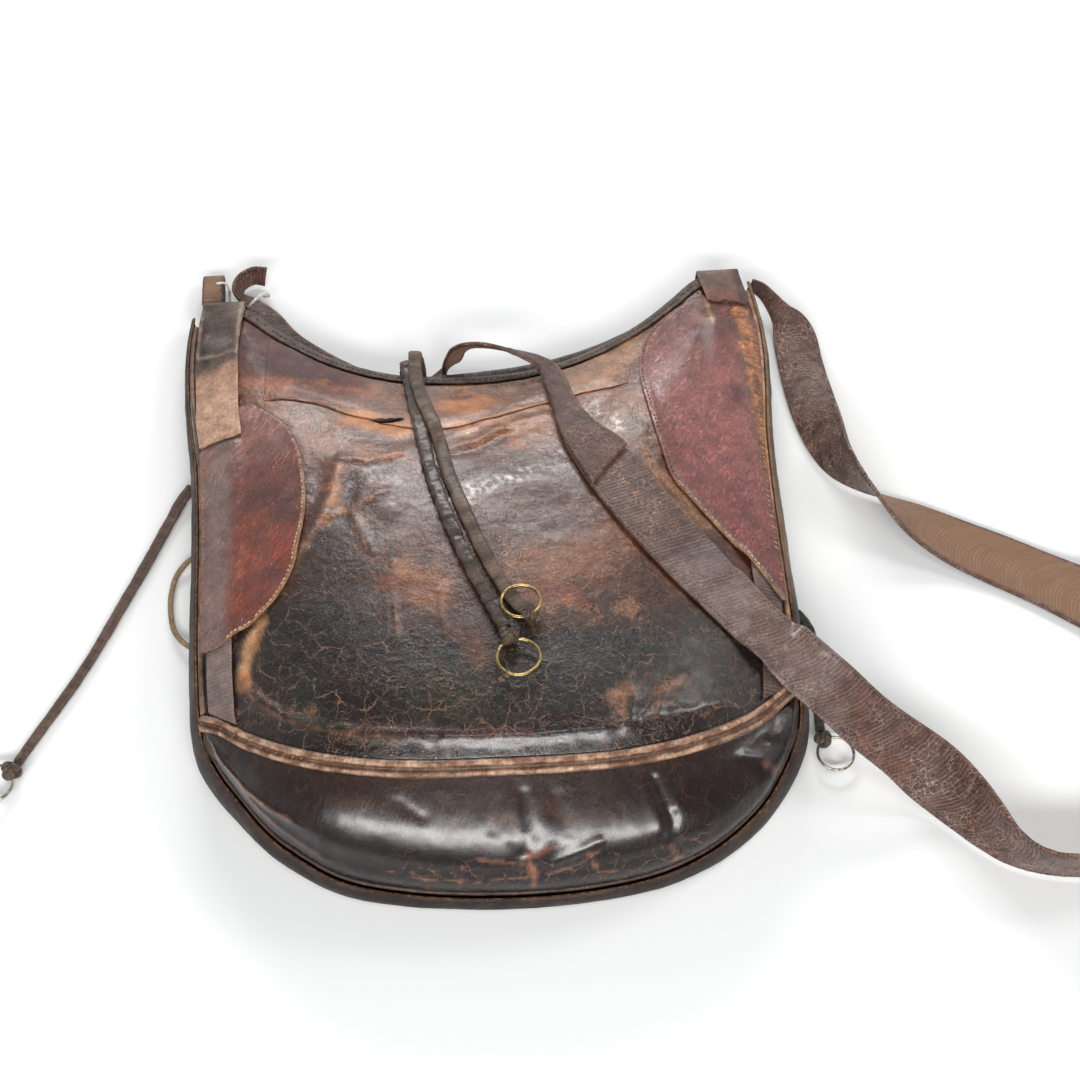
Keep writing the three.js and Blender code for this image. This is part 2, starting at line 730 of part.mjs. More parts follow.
// a tab that comes up the back of a shoulder, over both bindings and down the front
function cornerTab(name, sign, shoulderY, liftRows) {
  const lift = column(liftRows, "y", "lift");
  const from = liftRows[0].y;
  const over = shoulderY + 4.4;
  const under = backRise.height - 2.4;
  const high = height(0.9 * half(shoulderY), shoulderY);
  const front = steps(Math.round((shoulderY - from) / 12), from, shoulderY - 1)
    .map((y) => (a) => onFront(sign * a * half(y), y, lift(y)));
  const round = table(["y", "z"], [
    [over - 1.2, high + 1.8],
    [over, high - 2],
    [over + 0.2, under + 3],
    [over - 0.8, under + 0.4],
    [over - 4, under],
    [shoulderY - tabUnder, under],
  ]).map(({ y, z }) => (a) => vec(sign * a * half(shoulderY), y, z));
  const across = steps(2, tabSpan.inner, tabSpan.outer);
  add(name, sheet([...front, ...round].map((place) => across.map(place)), -sign * thin), "strap");
}
cornerTab("corner_tab_left", -1, shoulders.left.y, leftTabLift);
cornerTab("corner_tab_right", 1, shoulders.right.y, rightTabLift);

// ---- straps ----

const rightWing = wings[1];
const rightWingInner = column(rightWing.edge, "y", "x");

// the top of whatever lies on the bag at a place, for what is laid over it
function coverHeight(x, y) {
  const across = Math.abs(x) / half(y);
  const inWing = y < rightWing.from && y > rightWing.to && x > rightWingInner(y) - 2;
  const nearMouth = y > mouthY(x) - bindingReach - 2;
  const layers = [
    0.2,
    nearMouth ? 2.2 : 0,
    strapRise(x, y) + 0.2,
    x < facingEnds.right && y > facingLow(x) - 2 ? seat + thin : 0,
    inWing ? seat + thin + strapRise(x, y) : 0,
    across > 0.975 ? weltRadius + 0.4 : 0,
    Math.abs(y - pipingY(x)) < pipingGap + 1 ? 2.7 : 0,
  ];
  return onFront(x, y, Math.max(...layers)).z;
}

function restHeight(x, y) {
  const reach = 4;
  const around = [[0, 0], [reach, 0], [-reach, 0], [0, reach], [0, -reach]];
  return Math.max(...around.map(([dx, dy]) => coverHeight(x + dx, y + dy)
    - (height(x + dx, y + dy) - height(x, y))));
}

const passUnder = 12; // a strap further than this below the cover runs under the bag
const onBag = (x, y) => Math.abs(x) < half(y) + 6 && y < mouthY(x) + 4 && y > pipingY(x) - 6;

function strapGrid(rows, from, to, perRow = 2) {
  const read = columns(rows.map((row) => {
    const base = row.rest ? restHeight(row.x, row.y) : 0;
    return { ...row, z: base + row.z };
  }));
  const places = steps(Math.round((to - from) * perRow), from, to).map((at) => read(at));
  return stopsAlong(places.map(({ x, y, z }) => vec(x, y, z))).map(({ point, side, top }, i) => {
    const { roll, width, rest } = places[i];
    const angle = THREE.MathUtils.degToRad(roll);
    const across = side.clone().multiplyScalar(Math.cos(angle)).addScaledVector(top, Math.sin(angle));
    const clear = Math.max(point.z - restHeight(point.x, point.y), seat);
    return [-1, 0, 1].map((s) => {
      const place = point.clone().addScaledVector(across, s * width / 2);
      const least = restHeight(place.x, place.y) + seat;
      if (rest > 0.5) place.z = least - seat + clear;
      else if (onBag(place.x, place.y) && place.z > least - passUnder) place.z = Math.max(place.z, least);
      return place;
    });
  });
}

add("shoulder_strap_narrow", sheet(strapGrid(strapRows, 0, joint), -strapLeather), "strap");
add("shoulder_strap_wide", sheet(strapGrid(strapRows.map((row, i) => (
  i <= joint ? { ...row, z: 0.5, width: Math.max(row.width, lapWidth) } : row
)), joint - lap, strapRows.length - 1), -strapLeather), "strap");

const stubProfile = columns(stubRows);
add("strap_stub", sheet(steps(14, 0, stubRows.length - 1).map((at) => {
  const { y, z } = stubProfile(at);
  return [-1, 1].map((s) => vec(stub.x + s * stub.half, y, z));
}), -stub.leather), "strap");

const stringPath = curveThrough(vecs(stringRows));
add("string_tie", sweep(stopsAlong(stringPath.getPoints(24), () => vec(0.2, 0.4, 0.9)),
  oval(2 * stringRadius, 2 * stringRadius, 5)), "string");

// ---- thongs, knots and rings ----

const thongBody = (route, width, thick) => {
  const path = curveThrough(route);
  return sweep(stopsAlong(path.getSpacedPoints(Math.round(path.getLength() / 11))), oval(width, thick));
};
for (const { name, width, thick, inside, over } of frontThongs) {
  const lying = over.map(({ x, y, lift }) => vec(x, y, restHeight(x, y) + lift + thick / 2));
  add(name, thongBody([...vecs(inside), ...lying], width, thick), "thong");
}
for (const { name, width, thick, route } of floorThongs) {
  add(name, thongBody(vecs(route), width, thick), "thong");
}

// turns a shape made flat about the origin to lie at a place, on the front or on the floor
function settle(geometry, { x, y, z, lift, turn = 0 }) {
  const place = z === undefined ? onFront(x, y, lift) : vec(x, y, z);
  const top = z === undefined ? onFront(x, y, 1).sub(onFront(x, y)).normalize() : up;
  const pose = new THREE.Quaternion().setFromUnitVectors(up, top);
  geometry.rotateZ(turn);
  geometry.applyQuaternion(pose);
  return geometry.translate(place.x, place.y, place.z);
}

for (const { knot, name, radius, wire, ...place } of rings) {
  const { name: knotName, size, ...knotPlace } = knots[knot];
  const lump = new THREE.SphereGeometry(1, 10, 6).rotateX(Math.PI / 2).scale(...size);
  const tunnel = settle(new THREE.TorusGeometry(radius, wire + wireGap, 6, 20), place);
  add(knotName, minus(settle(lump, knotPlace), tunnel), "thong");
  const finish = name.startsWith("front") ? "brass" : "steel";
  add(name, settle(new THREE.TorusGeometry(radius, wire, 6, 20), place), finish);
}

export default part;
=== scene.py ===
import bpy
import numpy as np
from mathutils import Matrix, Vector


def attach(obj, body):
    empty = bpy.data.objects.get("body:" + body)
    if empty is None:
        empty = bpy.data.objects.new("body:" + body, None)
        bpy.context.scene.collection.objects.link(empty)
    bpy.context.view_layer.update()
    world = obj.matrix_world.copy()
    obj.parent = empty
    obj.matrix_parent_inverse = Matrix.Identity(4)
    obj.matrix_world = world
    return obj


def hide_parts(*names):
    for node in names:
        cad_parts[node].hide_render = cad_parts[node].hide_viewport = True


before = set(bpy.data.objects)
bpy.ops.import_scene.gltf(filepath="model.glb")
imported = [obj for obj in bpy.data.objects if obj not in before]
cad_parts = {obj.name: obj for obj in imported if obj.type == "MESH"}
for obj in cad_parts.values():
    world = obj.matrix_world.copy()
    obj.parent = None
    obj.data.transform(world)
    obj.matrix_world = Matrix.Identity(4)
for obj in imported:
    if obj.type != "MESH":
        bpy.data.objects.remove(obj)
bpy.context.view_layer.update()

# Everything below is worked out in millimetres and turned into metres when a mesh is made.
mm = 0.001
up = np.array([0.0, 0.0, 1.0])


# camera

view = {"place": (-6.6, -458.4, 759.3), "aim": (26.8, -4.0, 30.0), "lens": 53.33}

cameraData = bpy.data.cameras.new("camera")
cameraData.lens = view["lens"]
cameraData.sensor_width = 36
camera = bpy.data.objects.new("camera", cameraData)
bpy.context.collection.objects.link(camera)
camera.location = Vector(view["place"]) * mm
camera.rotation_euler = (Vector(view["aim"]) * mm - camera.location).to_track_quat("-Z", "Y").to_euler()
bpy.context.scene.camera = camera


# numbers

def clamp01(t):
    return np.clip(t, 0.0, 1.0)


def smooth(t):
    t = clamp01(t)
    return t * t * (3 - 2 * t)


def mix(a, b, t):
    return a + (b - a) * t


def unit(v):
    return v / np.maximum(np.linalg.norm(v, axis=-1, keepdims=True), 1e-9)


def column(keys, values):
    # a smooth curve through a table of keys and values
    order = np.argsort(keys)
    k, v = np.array(keys, float)[order], np.array(values, float)[order]
    rows = np.arange(len(k))
    after, before = np.minimum(rows + 1, len(k) - 1), np.maximum(rows - 1, 0)
    slope = (v[after] - v[before]) / (k[after] - k[before])

    def read(at):
        at = np.asarray(at, float)
        i = np.clip(np.searchsorted(k, at, side="right") - 1, 0, len(k) - 2)
        span, rise = k[i + 1] - k[i], v[i + 1] - v[i]
        t = clamp01((at - k[i]) / span)
        bend = (span * slope[i] - rise) * (1 - t) + (rise - span * slope[i + 1]) * t
        return v[i] + rise * t + bend * t * (1 - t)
    return read


def noise(x, y, size, seed, octaves=1):
    # smooth value noise from -1 to 1, the same on every run
    x, y = np.broadcast_arrays(np.asarray(x, float), np.asarray(y, float))
    total, weight = 0.0, 0.0
    for octave in range(octaves):
        u, v = x / size * 2 ** octave, y / size * 2 ** octave
        i, j = np.floor(u).astype(np.int64), np.floor(v).astype(np.int64)
        a, b = smooth(u - i), smooth(v - j)

        def corner(di, dj):
            h = ((i + di) * 374761393 + (j + dj) * 668265263 + (seed + octave) * 144269504) & 0x7fffffff
            h = ((h ^ (h >> 13)) * 1274126177) & 0x7fffffff
            return ((h ^ (h >> 16)) & 0xffff) / 32767.5 - 1
        low = mix(corner(0, 0), corner(1, 0), a)
        high = mix(corner(0, 1), corner(1, 1), a)
        total = total + mix(low, high, b) * 0.55 ** octave
        weight += 0.55 ** octave
    return total / weight


def nearLine(x, y, line):
    # how far every place is from a bent line, or from a point
    best = np.full(np.shape(x), 1e9)
    for (ax, ay), (bx, by) in zip(line, line[1:] or line):
        dx, dy = bx - ax, by - ay
        t = clamp01(((x - ax) * dx + (y - ay) * dy) / max(dx * dx + dy * dy, 1e-9))
        best = np.minimum(best, np.hypot(x - ax - t * dx, y - ay - t * dy))
    return best


def stroke(x, y, line, half, soft=2.0, ragged=0.0, seed=1):
    # 1 along a line, falling to 0 over the soft rim, with a ragged outline
    away = nearLine(x, y, line) + ragged * noise(x, y, 3.0 + 1.2 * half, seed, 3)
    return smooth((half + soft - away) / (2 * soft))


def shade(code):
    # a hex colour as linear red, green and blue
    value = np.array([int(code[i:i + 2], 16) for i in (0, 2, 4)]) / 255
    return np.where(value <= 0.04045, value / 12.92, ((value + 0.055) / 1.055) ** 2.4)


def tinted(colour, code, part):
    return mix(colour, shade(code), part[..., None])


def varied(colour, change):
    # lighter and darker by a part of itself
    return colour * (1 + change)[..., None]


# lines in space

def smoothLine(points, perSpan=40):
    # a centripetal curve through points, as a fine chain
    p = np.array(points, float)
    p = np.vstack([2 * p[0] - p[1], p, 2 * p[-1] - p[-2]])
    t = np.linspace(0, 1, perSpan, endpoint=False)[:, None]
    spans = []
    for a, b, c, d in zip(p, p[1:], p[2:], p[3:]):
        ab, bc, cd = (max(np.linalg.norm(q) ** 0.5, 1e-4) for q in (b - a, c - b, d - c))
        start = ((b - a) / ab - (c - a) / (ab + bc) + (c - b) / bc) * bc
        end = ((c - b) / bc - (d - b) / (bc + cd) + (d - c) / cd) * bc
        spans.append(b + start * t + (3 * (c - b) - 2 * start - end) * t ** 2
                     + (2 * (b - c) + start + end) * t ** 3)
    return np.vstack(spans + [p[-2:-1]])


def lengths(line):
    return np.concatenate([[0], np.cumsum(np.linalg.norm(np.diff(line, axis=0), axis=1))])


def along(line, part):
    # places at parts of a chain's length
    run = lengths(line)
    at = np.asarray(part, float) * run[-1]
    return np.stack([np.interp(at, run, line[:, i]) for i in range(line.shape[1])], -1)


def spaced(line, step):
    count = max(int(round(lengths(line)[-1] / step)), 2)
    return along(line, np.linspace(0, 1, count + 1))


def framesAlong(points, top=up):
    # the side and top directions at every point of a chain
    run = unit(np.gradient(points, axis=0))
    side = unit(np.cross(run, np.broadcast_to(top, run.shape)))
    return side, np.cross(side, run)


# the form of the bag, as its CAD solids have it

outline = {
    "y": (184, 147, 113, 96, 65, 15, -25, -60, -103, -125, -139, -156),
    "half": (164, 167, 165, 163, 158.5, 154.5, 153, 151.5, 148, 143, 138, 131),
    "edge": (17, 18, 20.5, 22, 25, 30, 32.5, 34.5, 35.5, 33, 30, 26),
}
crest = {
    "y": (125, 113, 96, 65, 15, -25, -60, -103, -125, -139, -156),
    "crown": (16, 22, 30.5, 43.5, 58, 66, 71, 75.5, 76, 74, 65),
}
mouth = {"middle": 113, "half": 137, "round": 0.15, "left": (178.5, 2.5), "right": (183, 2.2)}
overhang = {"most": 13, "x": 25, "half": 105}
backRise = {"start": 40, "end": 120, "height": 7}
piping = {"middle": -151, "rise": 49, "tilt": -0.02, "reach": 149, "end": 140, "gap": 4.2, "seat": 3.2}
hide, thin, strapLeather, seat = 2.0, 1.3, 2.4, 0.6
edgeGap = 2.25
bottomSeam = (
    (-146, -113.5, 31.5), (-139, -127, 27.5), (-132, -136.5, 24.5), (-117, -155, 20),
    (-106, -164.5, 18), (-82, -179.5, 15), (-48, -188, 13), (-10, -192, 12), (30, -192.5, 12.3),
    (66, -188.5, 13), (88, -182, 14.5), (106, -173, 17), (124, -159, 21), (133, -148, 24),
    (144, -129, 28.5), (147.5, -117, 31.5),
)
wingEdges = {
    -1: ((92, -128), (76, -111), (60, -102), (35, -97), (11, -96), (-10, -98), (-29, -101.5), (-44, -109),
         (-55, -120.5), (-62, -131), (-67, -144)),
    1: ((164, 134), (148, 112), (128, 98), (97, 91), (65, 92.5), (40, 95), (15, 99), (0, 108), (-16, 119),
        (-32, 131), (-58, 148)),
}
wingSpans = {-1: (92, -66), 1: (164, -56)}
facingEdge = ((-128, 95), (-100, 92), (-72, 78), (-30, 62), (0, 68), (40, 81), (88, 92))
facingEnds = (-122, 84)
sideEnd = -103           # y where the side seams turn into the bottom seam
backEnds, backCorners = (0.002, 0.998), (0.33, 0.67)    # parts of the seam's length
sideStrap = {"inner": 0.88, "outer": 0.972, "thick": 1.6, -1: 62, 1: 140}
slit = {"x": -52, "y": 72, "length": 17, "width": 3}

half = column(outline["y"], outline["half"])
edge = column(outline["y"], outline["edge"])
crown = column(crest["y"], crest["crown"])
facingLow = column(*zip(*facingEdge))
wingInner = {sign: column(*zip(*rows)) for sign, rows in wingEdges.items()}
mouthReach = float(half(mouth["right"][0])) - edgeGap


def mouthY(x):
    x = np.asarray(x, float)
    top = np.where(x < 0, mouth["left"][0], mouth["right"][0])
    rise = (np.abs(x) / mouth["half"]) ** np.where(x < 0, mouth["left"][1], mouth["right"][1])
    turn = clamp01(0.5 + 0.5 * (1 - rise) / mouth["round"])
    part = mix(1, rise, turn) - mouth["round"] * turn * (1 - turn)
    return mix(mouth["middle"], top, part)


def pipingY(x):
    return piping["middle"] + piping["tilt"] * x + piping["rise"] * (np.abs(x) / piping["reach"]) ** 3


def backHeight(y):
    return backRise["height"] * smooth((y - backRise["start"]) / (backRise["end"] - backRise["start"]))


def backMouthY(x):
    return mouthY(x) + 1 + overhang["most"] * np.maximum(1 - ((x - overhang["x"]) / overhang["half"]) ** 2, 0)


# folds and dents of the front: a line, its reach to each side, and its height (below zero: its depth)
folds = (
    (((-79, 42), (-80, 26), (-84, 10), (-91, -3), (-99, -18)), 3.6, 1.1),
    (((-89, 40), (-89, 24), (-93, 10), (-98, 0)), 4.5, -0.9),
    (((-72, 26), (-74, 10), (-76, 2)), 5.5, -0.8),
    (((-85, 3), (-75, 3.5), (-66, 9), (-54, 16)), 2.6, 0.6),
    (((-71, 2), (-66, -10), (-60, -26)), 2.6, 0.5),
    (((-17, 45), (-4, 49), (6, 60), (17, 59), (27, 55)), 2.6, 0.7),
    (((-16, 58), (-6, 62), (5, 71), (20, 76), (38, 78)), 2.4, 0.5),
    (((-127, -58), (-129, -76), (-127, -92), (-117, -104), (-102, -117), (-84, -126), (-62, -132),
      (-30, -137), (10, -139.5), (45, -138), (80, -131), (110, -121)), 3.6, 1.5),
    (((-121, -60), (-123, -76), (-120, -90), (-110, -102), (-96, -112)), 4, -0.7),
    (((-50, -34), (-50, -55), (-48.5, -84)), 1.5, 0.45),
    (((-53.5, -40), (-54, -66), (-52, -80)), 1.5, 0.35),
    (((-27, -55), (-26, -72), (-23, -86)), 1.6, 0.4),
    (((58, -136), (63, -122), (60, -108)), 2.6, 0.8),
    (((66, -133), (73, -118)), 2.4, -0.8),
    (((74, -129), (80, -117), (90, -108)), 2.6, 0.7),
    (((48, -137), (52, -128)), 2.2, 0.5),
    (((-31, -128), (-31, -146)), 1.4, -0.5),
    (((-20, 42), (-4, 45), (10, 55), (24, 58)), 3.6, -0.9),
    (((-12, 50), (2, 54), (14, 64), (34, 70)), 3.2, 0.7),
    (((-70, 60), (-55, 55), (-40, 56)), 4, -0.8),
    (((-76, 44), (-62, 40), (-46, 44)), 3, 0.8),
    (((-60, 18), (-52, 6)), 9, 0.8),
    (((20, -6), (44, -10)), 14, -0.7),
    (((0, 22), (30, 16)), 10, 0.7),
    (((-96, 120), (-70, 104), (-30, 100), (6, 100)), 7, -0.7),
    (((60, 62), (78, 92), (92, 120)), 7, -0.8),
)


def dents(x, y):
    rise = 0.6 * noise(x, y, 46, 3, 2) + 0.22 * noise(x, y, 13, 9, 2)
    for line, reach, high in folds:
        away = nearLine(x, y, line) + 0.35 * reach * noise(x, y, 7, 21)
        rise = rise + high * np.exp(-(away / reach) ** 2)
    rim = smooth((half(y) - np.abs(x) - 4) / 18) * smooth((mouthY(x) - y - 3) / 14)
    return rise * rim * smooth((y - pipingY(x) - 3) / 10)


def height(x, y):
    across = clamp01(np.abs(x) / half(y))
    follow = smooth((y + 60) / 170)
    return mix(crown(y - follow * (mouthY(x) - mouth["middle"])), edge(y), across ** 2.8) + dents(x, y)


def onFront(x, y, lift=0.0):
    # places lift above the front, square to it, and the directions square to it
    x, y = np.broadcast_arrays(np.asarray(x, float), np.asarray(y, float))
    slopeX = (height(x + 1, y) - height(x - 1, y)) / 2
    slopeY = (height(x, y + 1) - height(x, y - 1)) / 2
    out = unit(np.stack([-slopeX, -slopeY, np.ones_like(slopeX)], -1))
    return np.stack([x, y, height(x, y)], -1) + out * np.asarray(lift)[..., None], out


def sideSeam(sign, top):
    y = np.linspace(top, sideEnd, 13)
    return np.stack([sign * half(y), y, edge(y)], -1)


seam = smoothLine(np.vstack([
    sideSeam(-1, mouth["left"][0]), bottomSeam, sideSeam(1, mouth["right"][0])[::-1]]))


def sideEndFrom(start):
    above, below = start, 0.5
    for _ in range(30):
        middle = (above + below) / 2
        above, below = (middle, below) if along(seam, middle)[1] > sideEnd else (above, middle)
    return above


bottomStart, bottomEnd = sideEndFrom(0.0), sideEndFrom(1.0)


def outward(u):
    run = unit(along(seam, np.clip(u + 0.0015, 0, 1)) - along(seam, np.clip(u - 0.0015, 0, 1)))
    return unit(np.stack([run[..., 1], -run[..., 0], np.zeros_like(run[..., 0])], -1))


# what straps and thongs lie on

def strapRise(x, y):
    sign = np.where(x < 0, -1, 1)
    across = np.abs(x) / half(y)
    gentle = 0.05 * smooth((y - 20) / 60) * (x > 0)
    inside = smooth((across - sideStrap["inner"] + 0.055 + gentle) / (0.04 + gentle))
    below = smooth((np.where(sign < 0, sideStrap[-1], sideStrap[1]) + 10 - y) / 8)
    return (sideStrap["thick"] + seat) * inside * below


restReach = 4
# how far each thing that can lie under a strap stands above the front
cover = {"plain": 0.2, "binding": 2.2, "welt": 2.2, "piping": 2.7}


def coverHeight(x, y):
    across = np.abs(x) / half(y)
    inWing = (y < wingSpans[1][0]) & (y > wingSpans[1][1]) & (x > wingInner[1](y) - 2)
    facing = (x < facingEnds[1]) & (y > facingLow(x) - 2)
    layers = np.maximum.reduce([
        np.full(np.shape(x), cover["plain"]),
        np.where(y > mouthY(x) - 8, cover["binding"], 0),
        strapRise(x, y) + cover["plain"],
        np.where(facing, seat + thin, 0),
        np.where(inWing, seat + thin + strapRise(x, y), 0),
        np.where(across > 0.975, cover["welt"], 0),
        np.where(np.abs(y - pipingY(x)) < piping["gap"] + 1, cover["piping"], 0),
    ])
    return onFront(x, y, layers)[0][..., 2]


def restHeight(x, y):
    # what a strap rests on: the highest cover within a strap's reach
    x, y = np.broadcast_arrays(np.asarray(x, float), np.asarray(y, float))
    best = np.full(x.shape, -1e9)
    for dx, dy in np.array([(0, 0), (1, 0), (-1, 0), (0, 1), (0, -1)]) * restReach:
        best = np.maximum(best, coverHeight(x + dx, y + dy) - (height(x + dx, y + dy) - height(x, y)))
    return best


# meshes

def makeObject(name, points, faces, material, values=None, uv=None):
    mesh = bpy.data.meshes.new(name)
    mesh.from_pydata((np.asarray(points) * mm).tolist(), [], faces)
    mesh.polygons.foreach_set("use_smooth", np.ones(len(mesh.polygons), bool))
    for label, value in (values or {}).items():
        colour = value.ndim == 2
        layer = mesh.attributes.new(label, "FLOAT_COLOR" if colour else "FLOAT", "POINT")
        if colour:
            value = np.hstack([value, np.ones((len(value), 1))])
        layer.data.foreach_set("color" if colour else "value", value.astype(np.float32).ravel())
    if uv is not None:
        corners = np.empty(len(mesh.loops), np.int32)
        mesh.loops.foreach_get("vertex_index", corners)
        layer = mesh.uv_layers.new(name="run")
        layer.data.foreach_set("uv", uv[corners].astype(np.float32).ravel())
    mesh.materials.append(material)
    obj = bpy.data.objects.new(name, mesh)
    bpy.context.collection.objects.link(obj)
    return obj


def facesAway(points, quads, away):
    # whether quads face away from what they cover
    p = points[quads]
    return (np.cross(p[:, 1] - p[:, 0], p[:, 3] - p[:, 0]) * away).sum() >= 0


def ringQuads(shape):
    # faces of a grid of places that closes both ways
    ids = np.arange(shape[0] * shape[1]).reshape(shape[:2])
    after = np.roll(ids, -1, 0)
    return np.stack([ids, after, np.roll(after, -1, 1), np.roll(ids, -1, 1)], -1).reshape(-1, 4)


def stations(length, step, rim):
    # parts of a length, close together where an edge rounds over
    near = np.array([0, 0.07, 0.25, 0.6, 1.0]) * rim
    middle = np.linspace(rim, length - rim, max(int(round((length - 2 * rim) / step)), 1) + 1)
    return np.concatenate([near[:-1], middle, length - near[-2::-1]]) / length


def shell(name, middle, out, thick, material, paint, rim=None):
    # leather with rounded edges on both sides of a grid of places
    rows, across = middle.shape[:2]
    rim = rim or thick / 2
    down = np.cumsum(np.linalg.norm(np.diff(middle, axis=0, prepend=middle[:1]), axis=-1), axis=0)
    over = np.cumsum(np.linalg.norm(np.diff(middle, axis=1, prepend=middle[:, :1]), axis=-1), axis=1)
    near = np.minimum(np.minimum(down, down[-1:] - down), np.minimum(over, over[:, -1:] - over))
    fall = 1 - clamp01(near / rim)
    bulge = (thick / 2 * np.sqrt(np.maximum(1 - fall ** 2, 0)))[..., None]
    top = (middle + out * bulge).reshape(-1, 3)
    inner = np.zeros((rows, across), bool)
    inner[1:-1, 1:-1] = True
    low = (middle - out * bulge)[inner]
    ids = np.arange(rows * across).reshape(rows, across)
    under = ids.copy()
    under[inner] = rows * across + np.arange(inner.sum())
    quads = []
    for grid, flip in ((ids, False), (under, True)):
        a, b, c, d = grid[:-1, :-1], grid[:-1, 1:], grid[1:, 1:], grid[1:, :-1]
        order = (a, b, c, d) if flip else (a, d, c, b)
        quads.append(np.stack(order, -1).reshape(-1, 4))
    faces = np.vstack(quads)
    if not facesAway(top, quads[0], out[:-1, :-1].reshape(-1, 3)):
        faces = faces[:, ::-1]
    uvTop = np.stack([down, over], -1).reshape(-1, 2)
    uv = np.vstack([uvTop, uvTop.reshape(rows, across, 2)[inner]]) * mm
    both = {label: np.concatenate([value.reshape(rows * across, *value.shape[2:]), value[inner]])
            for label, value in (paint | {"rim": np.exp(-near / 1.6)}).items()}
    both["flesh"] = np.concatenate([np.zeros(rows * across), smooth((near - 0.5 * thick)[inner] / 0.9)])
    return makeObject(name, np.vstack([top, low]), faces.tolist(), material, both, uv)


def normalsOf(grid):
    return unit(np.cross(np.gradient(grid, axis=0), np.gradient(grid, axis=1)))


def facingUp(out, toward):
    return out * np.where((out * toward).sum(-1, keepdims=True) < 0, -1, 1)


def tube(name, points, side, top, outline, material, paint=None, ends=0.45):
    # an outline of (side, up) pairs carried along a chain, with rounded ends
    count = len(points)
    ring = np.broadcast_to(np.asarray(outline, float), (count,) + np.shape(outline)[-2:]).copy()
    reach = np.abs(ring).max(axis=(1, 2))
    run = unit(np.gradient(points, axis=0))
    body = points[:, None] + side[:, None] * ring[..., :1] + top[:, None] * ring[..., 1:]
    for scale, push in ((0.94, 0.25), (0.75, 0.6), (0.4, 0.9)) if ends else ():
        caps = []
        for at, sign in ((0, -1), (-1, 1)):
            centre = points[at] + sign * run[at] * reach[at] * push * ends
            caps.append(centre + side[at] * ring[at, :, :1] * scale + top[at] * ring[at, :, 1:] * scale)
        body = np.concatenate([caps[:1], body, caps[1:]])
    rows, across = body.shape[:2]
    tips = np.stack([body[0].mean(axis=0), body[-1].mean(axis=0)])
    ids = np.arange(rows * across).reshape(rows, across)
    after = np.roll(ids, -1, axis=1)
    quads = np.stack([ids[:-1], ids[1:], after[1:], after[:-1]], -1).reshape(-1, 4)
    first, last = rows * across, rows * across + 1
    fans = [(first, a, b) for a, b in zip(ids[0], after[0])]
    fans += [(last, b, a) for a, b in zip(ids[-1], after[-1])]
    p = body.reshape(-1, 3)
    centres = np.repeat(body.mean(axis=1), across, axis=0)
    turn = 1 if facesAway(p, quads, (p - centres)[quads[:, 0]]) else -1
    faces = [list(f[::turn]) for f in quads.tolist() + fans]
    distance = lengths(body.mean(axis=1))
    uv = np.stack(np.broadcast_arrays(distance[:, None] * mm, np.linspace(0, 1, across)[None]), -1)
    uv = np.vstack([uv.reshape(-1, 2), [[0, 0.5], [distance[-1] * mm, 0.5]]])
    values = {}
    for label, value in (paint or {}).items():
        pad = (rows - count) // 2
        value = np.concatenate([value[:1]] * pad + [value] + [value[-1:]] * pad)
        flat = value.reshape(rows * across, *value.shape[2:])
        values[label] = np.concatenate([flat, flat[:1], flat[-1:]])
    return makeObject(name, np.vstack([p, tips]), faces, material, values, uv)


def oval(width, thick, sides=16):
    angle = np.arange(sides) / sides * 2 * np.pi
    return np.stack([np.cos(angle) * width / 2, np.sin(angle) * thick / 2], -1)


# shader groups, each built once

def feed(tree, node, inputs):
    # inputs given as values or as outputs of other nodes
    for key, value in inputs.items():
        if isinstance(value, bpy.types.NodeSocket):
            tree.links.new(value, node.inputs[key])
        else:
            node.inputs[key].default_value = value


def put(tree, kind, inputs=None, **settings):
    node = tree.nodes.new(kind)
    for key, value in settings.items():
        setattr(node, key, value)
    feed(tree, node, inputs or {})
    return node


def group(name, inputs, outputs):
    # a shader node group with a Vector, some numbers, and only numbers for results
    tree = bpy.data.node_groups.new(name, "ShaderNodeTree")
    tree.interface.new_socket("Vector", in_out="INPUT", socket_type="NodeSocketVector")
    for label, value in inputs.items():
        tree.interface.new_socket(label, in_out="INPUT", socket_type="NodeSocketFloat").default_value = value
    for label in outputs:
        tree.interface.new_socket(label, in_out="OUTPUT", socket_type="NodeSocketFloat")
    return tree, tree.nodes.new("NodeGroupInput").outputs, tree.nodes.new("NodeGroupOutput")


def maths(tree, operation, a, b=0.0, c=0.0):
    return put(tree, "ShaderNodeMath", {0: a, 1: b, 2: c}, operation=operation).outputs[0]


def times(tree, a, b):
    return maths(tree, "MULTIPLY", a, b)


def timesPlus(tree, a, b, c):
    return maths(tree, "MULTIPLY_ADD", a, b, c)


def ramp(tree, value, low, high, fromValue=0.0, toValue=1.0):
    return put(tree, "ShaderNodeMapRange", {"Value": value, "From Min": low, "From Max": high,
                                            "To Min": fromValue, "To Max": toValue},
               interpolation_type="SMOOTHSTEP").outputs[0]


def noiseOf(tree, vector, scale, detail, roughness=0.5, distortion=0.0):
    return put(tree, "ShaderNodeTexNoise", {"Vector": vector, "Scale": scale, "Detail": detail,
                                            "Roughness": roughness, "Distortion": distortion}).outputs[0]


def bentPlace(tree, vector, scale, detail, roughness, reach):
    # places pushed about by a noise, by up to its reach in metres
    warp = put(tree, "ShaderNodeTexNoise", {"Vector": vector, "Scale": scale, "Detail": detail,
                                            "Roughness": roughness})
    bent = put(tree, "ShaderNodeVectorMath", {0: warp.outputs["Color"], 3: reach}, operation="SCALE")
    return put(tree, "ShaderNodeVectorMath", {0: vector, 1: bent.outputs[0]}, operation="ADD").outputs[0]


